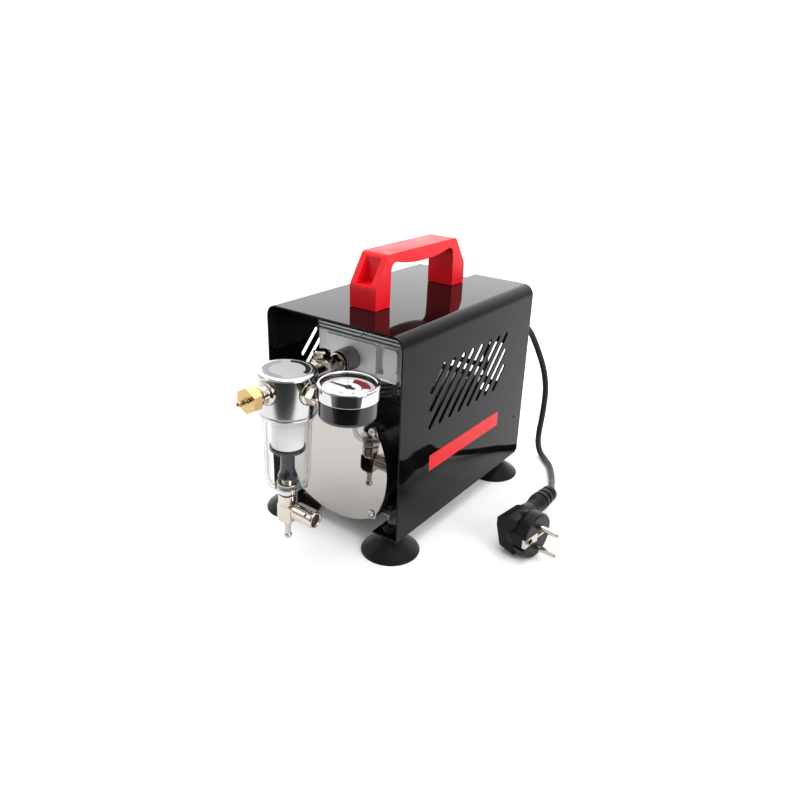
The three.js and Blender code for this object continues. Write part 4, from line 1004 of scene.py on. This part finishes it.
# ------------------------------------------------------------------ gauge
def make_gauge():
    start = TRAP["spot"] + GAP
    case, bezel, top, low = (GAUGE[key] for key in ("case", "bezel", "top", "bezel_low"))
    wall = GAUGE_WALL
    stem_end = GAUGE["x"] - TRAP["x"] - case - GAP
    collar = [(0, start), (8.8, start), (8.8, start + 2.6), (7, start + 3.4), (0, start + 3.4)]
    fitting("stem_collar", leaned(lathe(collar, "x", PORT)), "gauge_stem")
    fitting("stem_hexagon", leaned(hex_bar(13, start + 3.2, 30, "x", PORT)), bevel=0.15)
    fitting("stem_tube", leaned(rod(4.6, 29, stem_end, "x", PORT)))
    seat = top - 5
    cup = lathe([
        (0, 0), (case - 2.4, 0), (case - 0.8, 0.7), (case, 2.4), (case, low - GAP), (wall, low - GAP),
        (wall, top - 2.3), (wall - 0.6, top - 2.3), (wall - 0.6, seat), (wall - 1.9, seat),
        (wall - 1.9, 2), (0, 2),
    ], "z", GAUGE_AT, 128, 0.8)
    add("gauge_cup", leaned(cup), gauge_plastic, "gauge_case")
    rim = lathe([
        (wall + GAP, low), (bezel, low), (bezel, top - 1.6), (bezel - 0.5, top - 0.4), (bezel - 1.4, top),
        (wall - 0.6, top - 0.15), (wall - 1, top - 0.6), (wall + GAP, top - 0.6),
    ], "z", GAUGE_AT, 128, 0.5)
    add("gauge_rim", leaned(rim), chrome, "gauge_bezel")
    face = rod(wall - 0.9, seat + GAP, DIAL_TOP, "z", GAUGE_AT, 96, 0.1)
    add("gauge_face", leaned(face), dial_white, "gauge_dial")
    make_dial_marks()
    low_needle = seat + 1.4
    blade = [(-1, -5), (1, -5), (1.2, 0), (0.3, 14), (-0.3, 14), (-1.2, 0)]
    blade = prism(blade, "z", low_needle, low_needle + 0.5)
    hub = rod(2.2, low_needle, low_needle + 1.1, steps=48, reach=0.2)
    pointer = turned_about(joined(blade, hub), math.radians(NEEDLE_ZERO), "Z", *GAUGE_AT)
    add("gauge_needle", leaned(pointer), print_black, "gauge_pointer", body="needle", bevel=0.1)
    lens = rod(wall - 0.1, top - 2, top - 0.9, "z", GAUGE_AT, 96, 0.1)
    add("gauge_window", leaned(lens), clear_glass, "gauge_lens")


def on_dial(angle, radius):
    turn = math.radians(90 + NEEDLE_ZERO - angle)
    return GAUGE["x"] + radius * math.cos(turn), GAUGE["y"] + radius * math.sin(turn)


def dial_band(start, end, inner, outer):
    steps = 24
    angles = [start + (end - start) * k / steps for k in range(steps + 1)]
    return [on_dial(a, outer) for a in angles] + [on_dial(a, inner) for a in reversed(angles)]


def make_dial_marks():
    """Ticks and numbers in black, the red zone and a thin red line round the edge."""
    base = GAUGE["base"] + DIAL_TOP - 0.02
    ticks, spaces = [], 50
    for k in range(spaces + 1):
        angle = DIAL_SWEEP * k / spaces
        width, inner = (1.0, 13.6) if k % 5 == 0 else (0.5, 15)
        ticks.append(prism(dial_band(angle - width, angle + width, inner, 16.6), "z", base, base + 0.08))
    add("dial_ticks", leaned(joined(*ticks)), print_black)
    red = prism(dial_band(*DIAL_RED, 8.6, 15), "z", base, base + 0.06)
    add("dial_red_zone", leaned(red), dial_red)
    edge, inside = (arc(GAUGE_AT, radius, 0, 360, 72)[:-1] for radius in (18.8, 18))
    line = boolean(prism(edge, "z", base, base + 0.06), [prism(inside, "z", base - 1, base + 1)])
    add("dial_edge_line", leaned(line), dial_red)
    for number in range(0, 11, 2):
        text = bpy.data.curves.new("number", "FONT")
        text.body = str(number)
        text.size = 3.2 * MM
        text.align_x = text.align_y = "CENTER"
        text.extrude = 0.03 * MM
        writer = new_object("number", text)
        mesh = evaluated(writer)
        bpy.data.objects.remove(writer)
        x, y = on_dial(DIAL_SWEEP * number / 10, 9.4)
        mesh.transform(Matrix.Translation(place(x, y, base + 0.04)))
        add(f"dial_number_{number}", leaned(mesh), print_black)


make_gauge()


# ------------------------------------------------------------------ floor and light
BEHIND = Vector((-0.576, 0.817, 0))
BRIGHTEST = Vector((-0.52, 0.738, 0.43))
GLOW = ((-0.88, 0.018), (-0.60, 0.16), (-0.40, 0.26), (0.15, 0.34), (0.45, 0.48), (0.80, 1.0))
GLOW_STRENGTH = 2.5
FLOOR_FRONT = 0.32


def make_stage():
    """A white floor in a bright tent. Both end towards the front right, where the room is dark."""
    reach = 12
    across = Vector((-BEHIND.y, BEHIND.x, 0))
    ends = [(-FLOOR_FRONT, -reach), (-FLOOR_FRONT, reach), (reach, reach), (reach, -reach)]
    corners = [BEHIND * back - across * side for back, side in ends]
    floor = bpy.data.meshes.new("floor")
    floor.from_pydata(corners, [], [(0, 1, 2, 3)])
    floor.materials.append(look("floor_paint", (0.92, 0.92, 0.92), 0.8, mottle=0.005, grain=0.0, uneven=0.0))
    new_object("floor", floor)

    world = bpy.data.worlds.new("tent")
    world.use_nodes = True
    tree = world.node_tree
    background = tree.nodes["Background"]
    where = new_node(tree, "TexCoord")
    facing = new_node(tree, "VectorMath")
    facing.operation = "DOT_PRODUCT"
    facing.inputs[1].default_value = BRIGHTEST
    shift = new_node(tree, "MapRange", From_Min=-1)
    ramp = new_node(tree, "ValToRGB")
    bands = ramp.color_ramp.elements
    while len(bands) < len(GLOW):
        bands.new(0.5)
    for band, (turn, level) in zip(bands, GLOW):
        band.position = (turn + 1) / 2
        band.color = (level, level, level, 1)
    tree.links.new(where.outputs["Generated"], facing.inputs[0])
    tree.links.new(facing.outputs["Value"], shift.inputs["Value"])
    tree.links.new(shift.outputs["Result"], ramp.inputs["Fac"])
    tree.links.new(ramp.outputs["Color"], background.inputs["Color"])
    background.inputs["Strength"].default_value = GLOW_STRENGTH
    scene.world = world

    make_softbox("top_softbox", (0.1, 0.1, 1.7), (1.6, 1.6), 15)
    make_softbox("right_softbox", (1.4, -0.1, 0.8), (0.8, 0.8), 15)
    make_softbox("left_softbox", (-1.0, -1.2, 1.0), (0.7, 0.7), 2.5)


def make_softbox(name, spot, size, power):
    data = bpy.data.lights.new(name, "AREA")
    data.shape = "RECTANGLE"
    data.size, data.size_y = size
    data.energy = power
    lamp = new_object(name, data)
    lamp.location = spot
    aim = Vector((0, 0, 0.1)) - lamp.location
    lamp.rotation_euler = aim.to_track_quat("-Z", "Y").to_euler()


make_stage()
scene.view_settings.view_transform = "Standard"

bpy.context.view_layer.update()
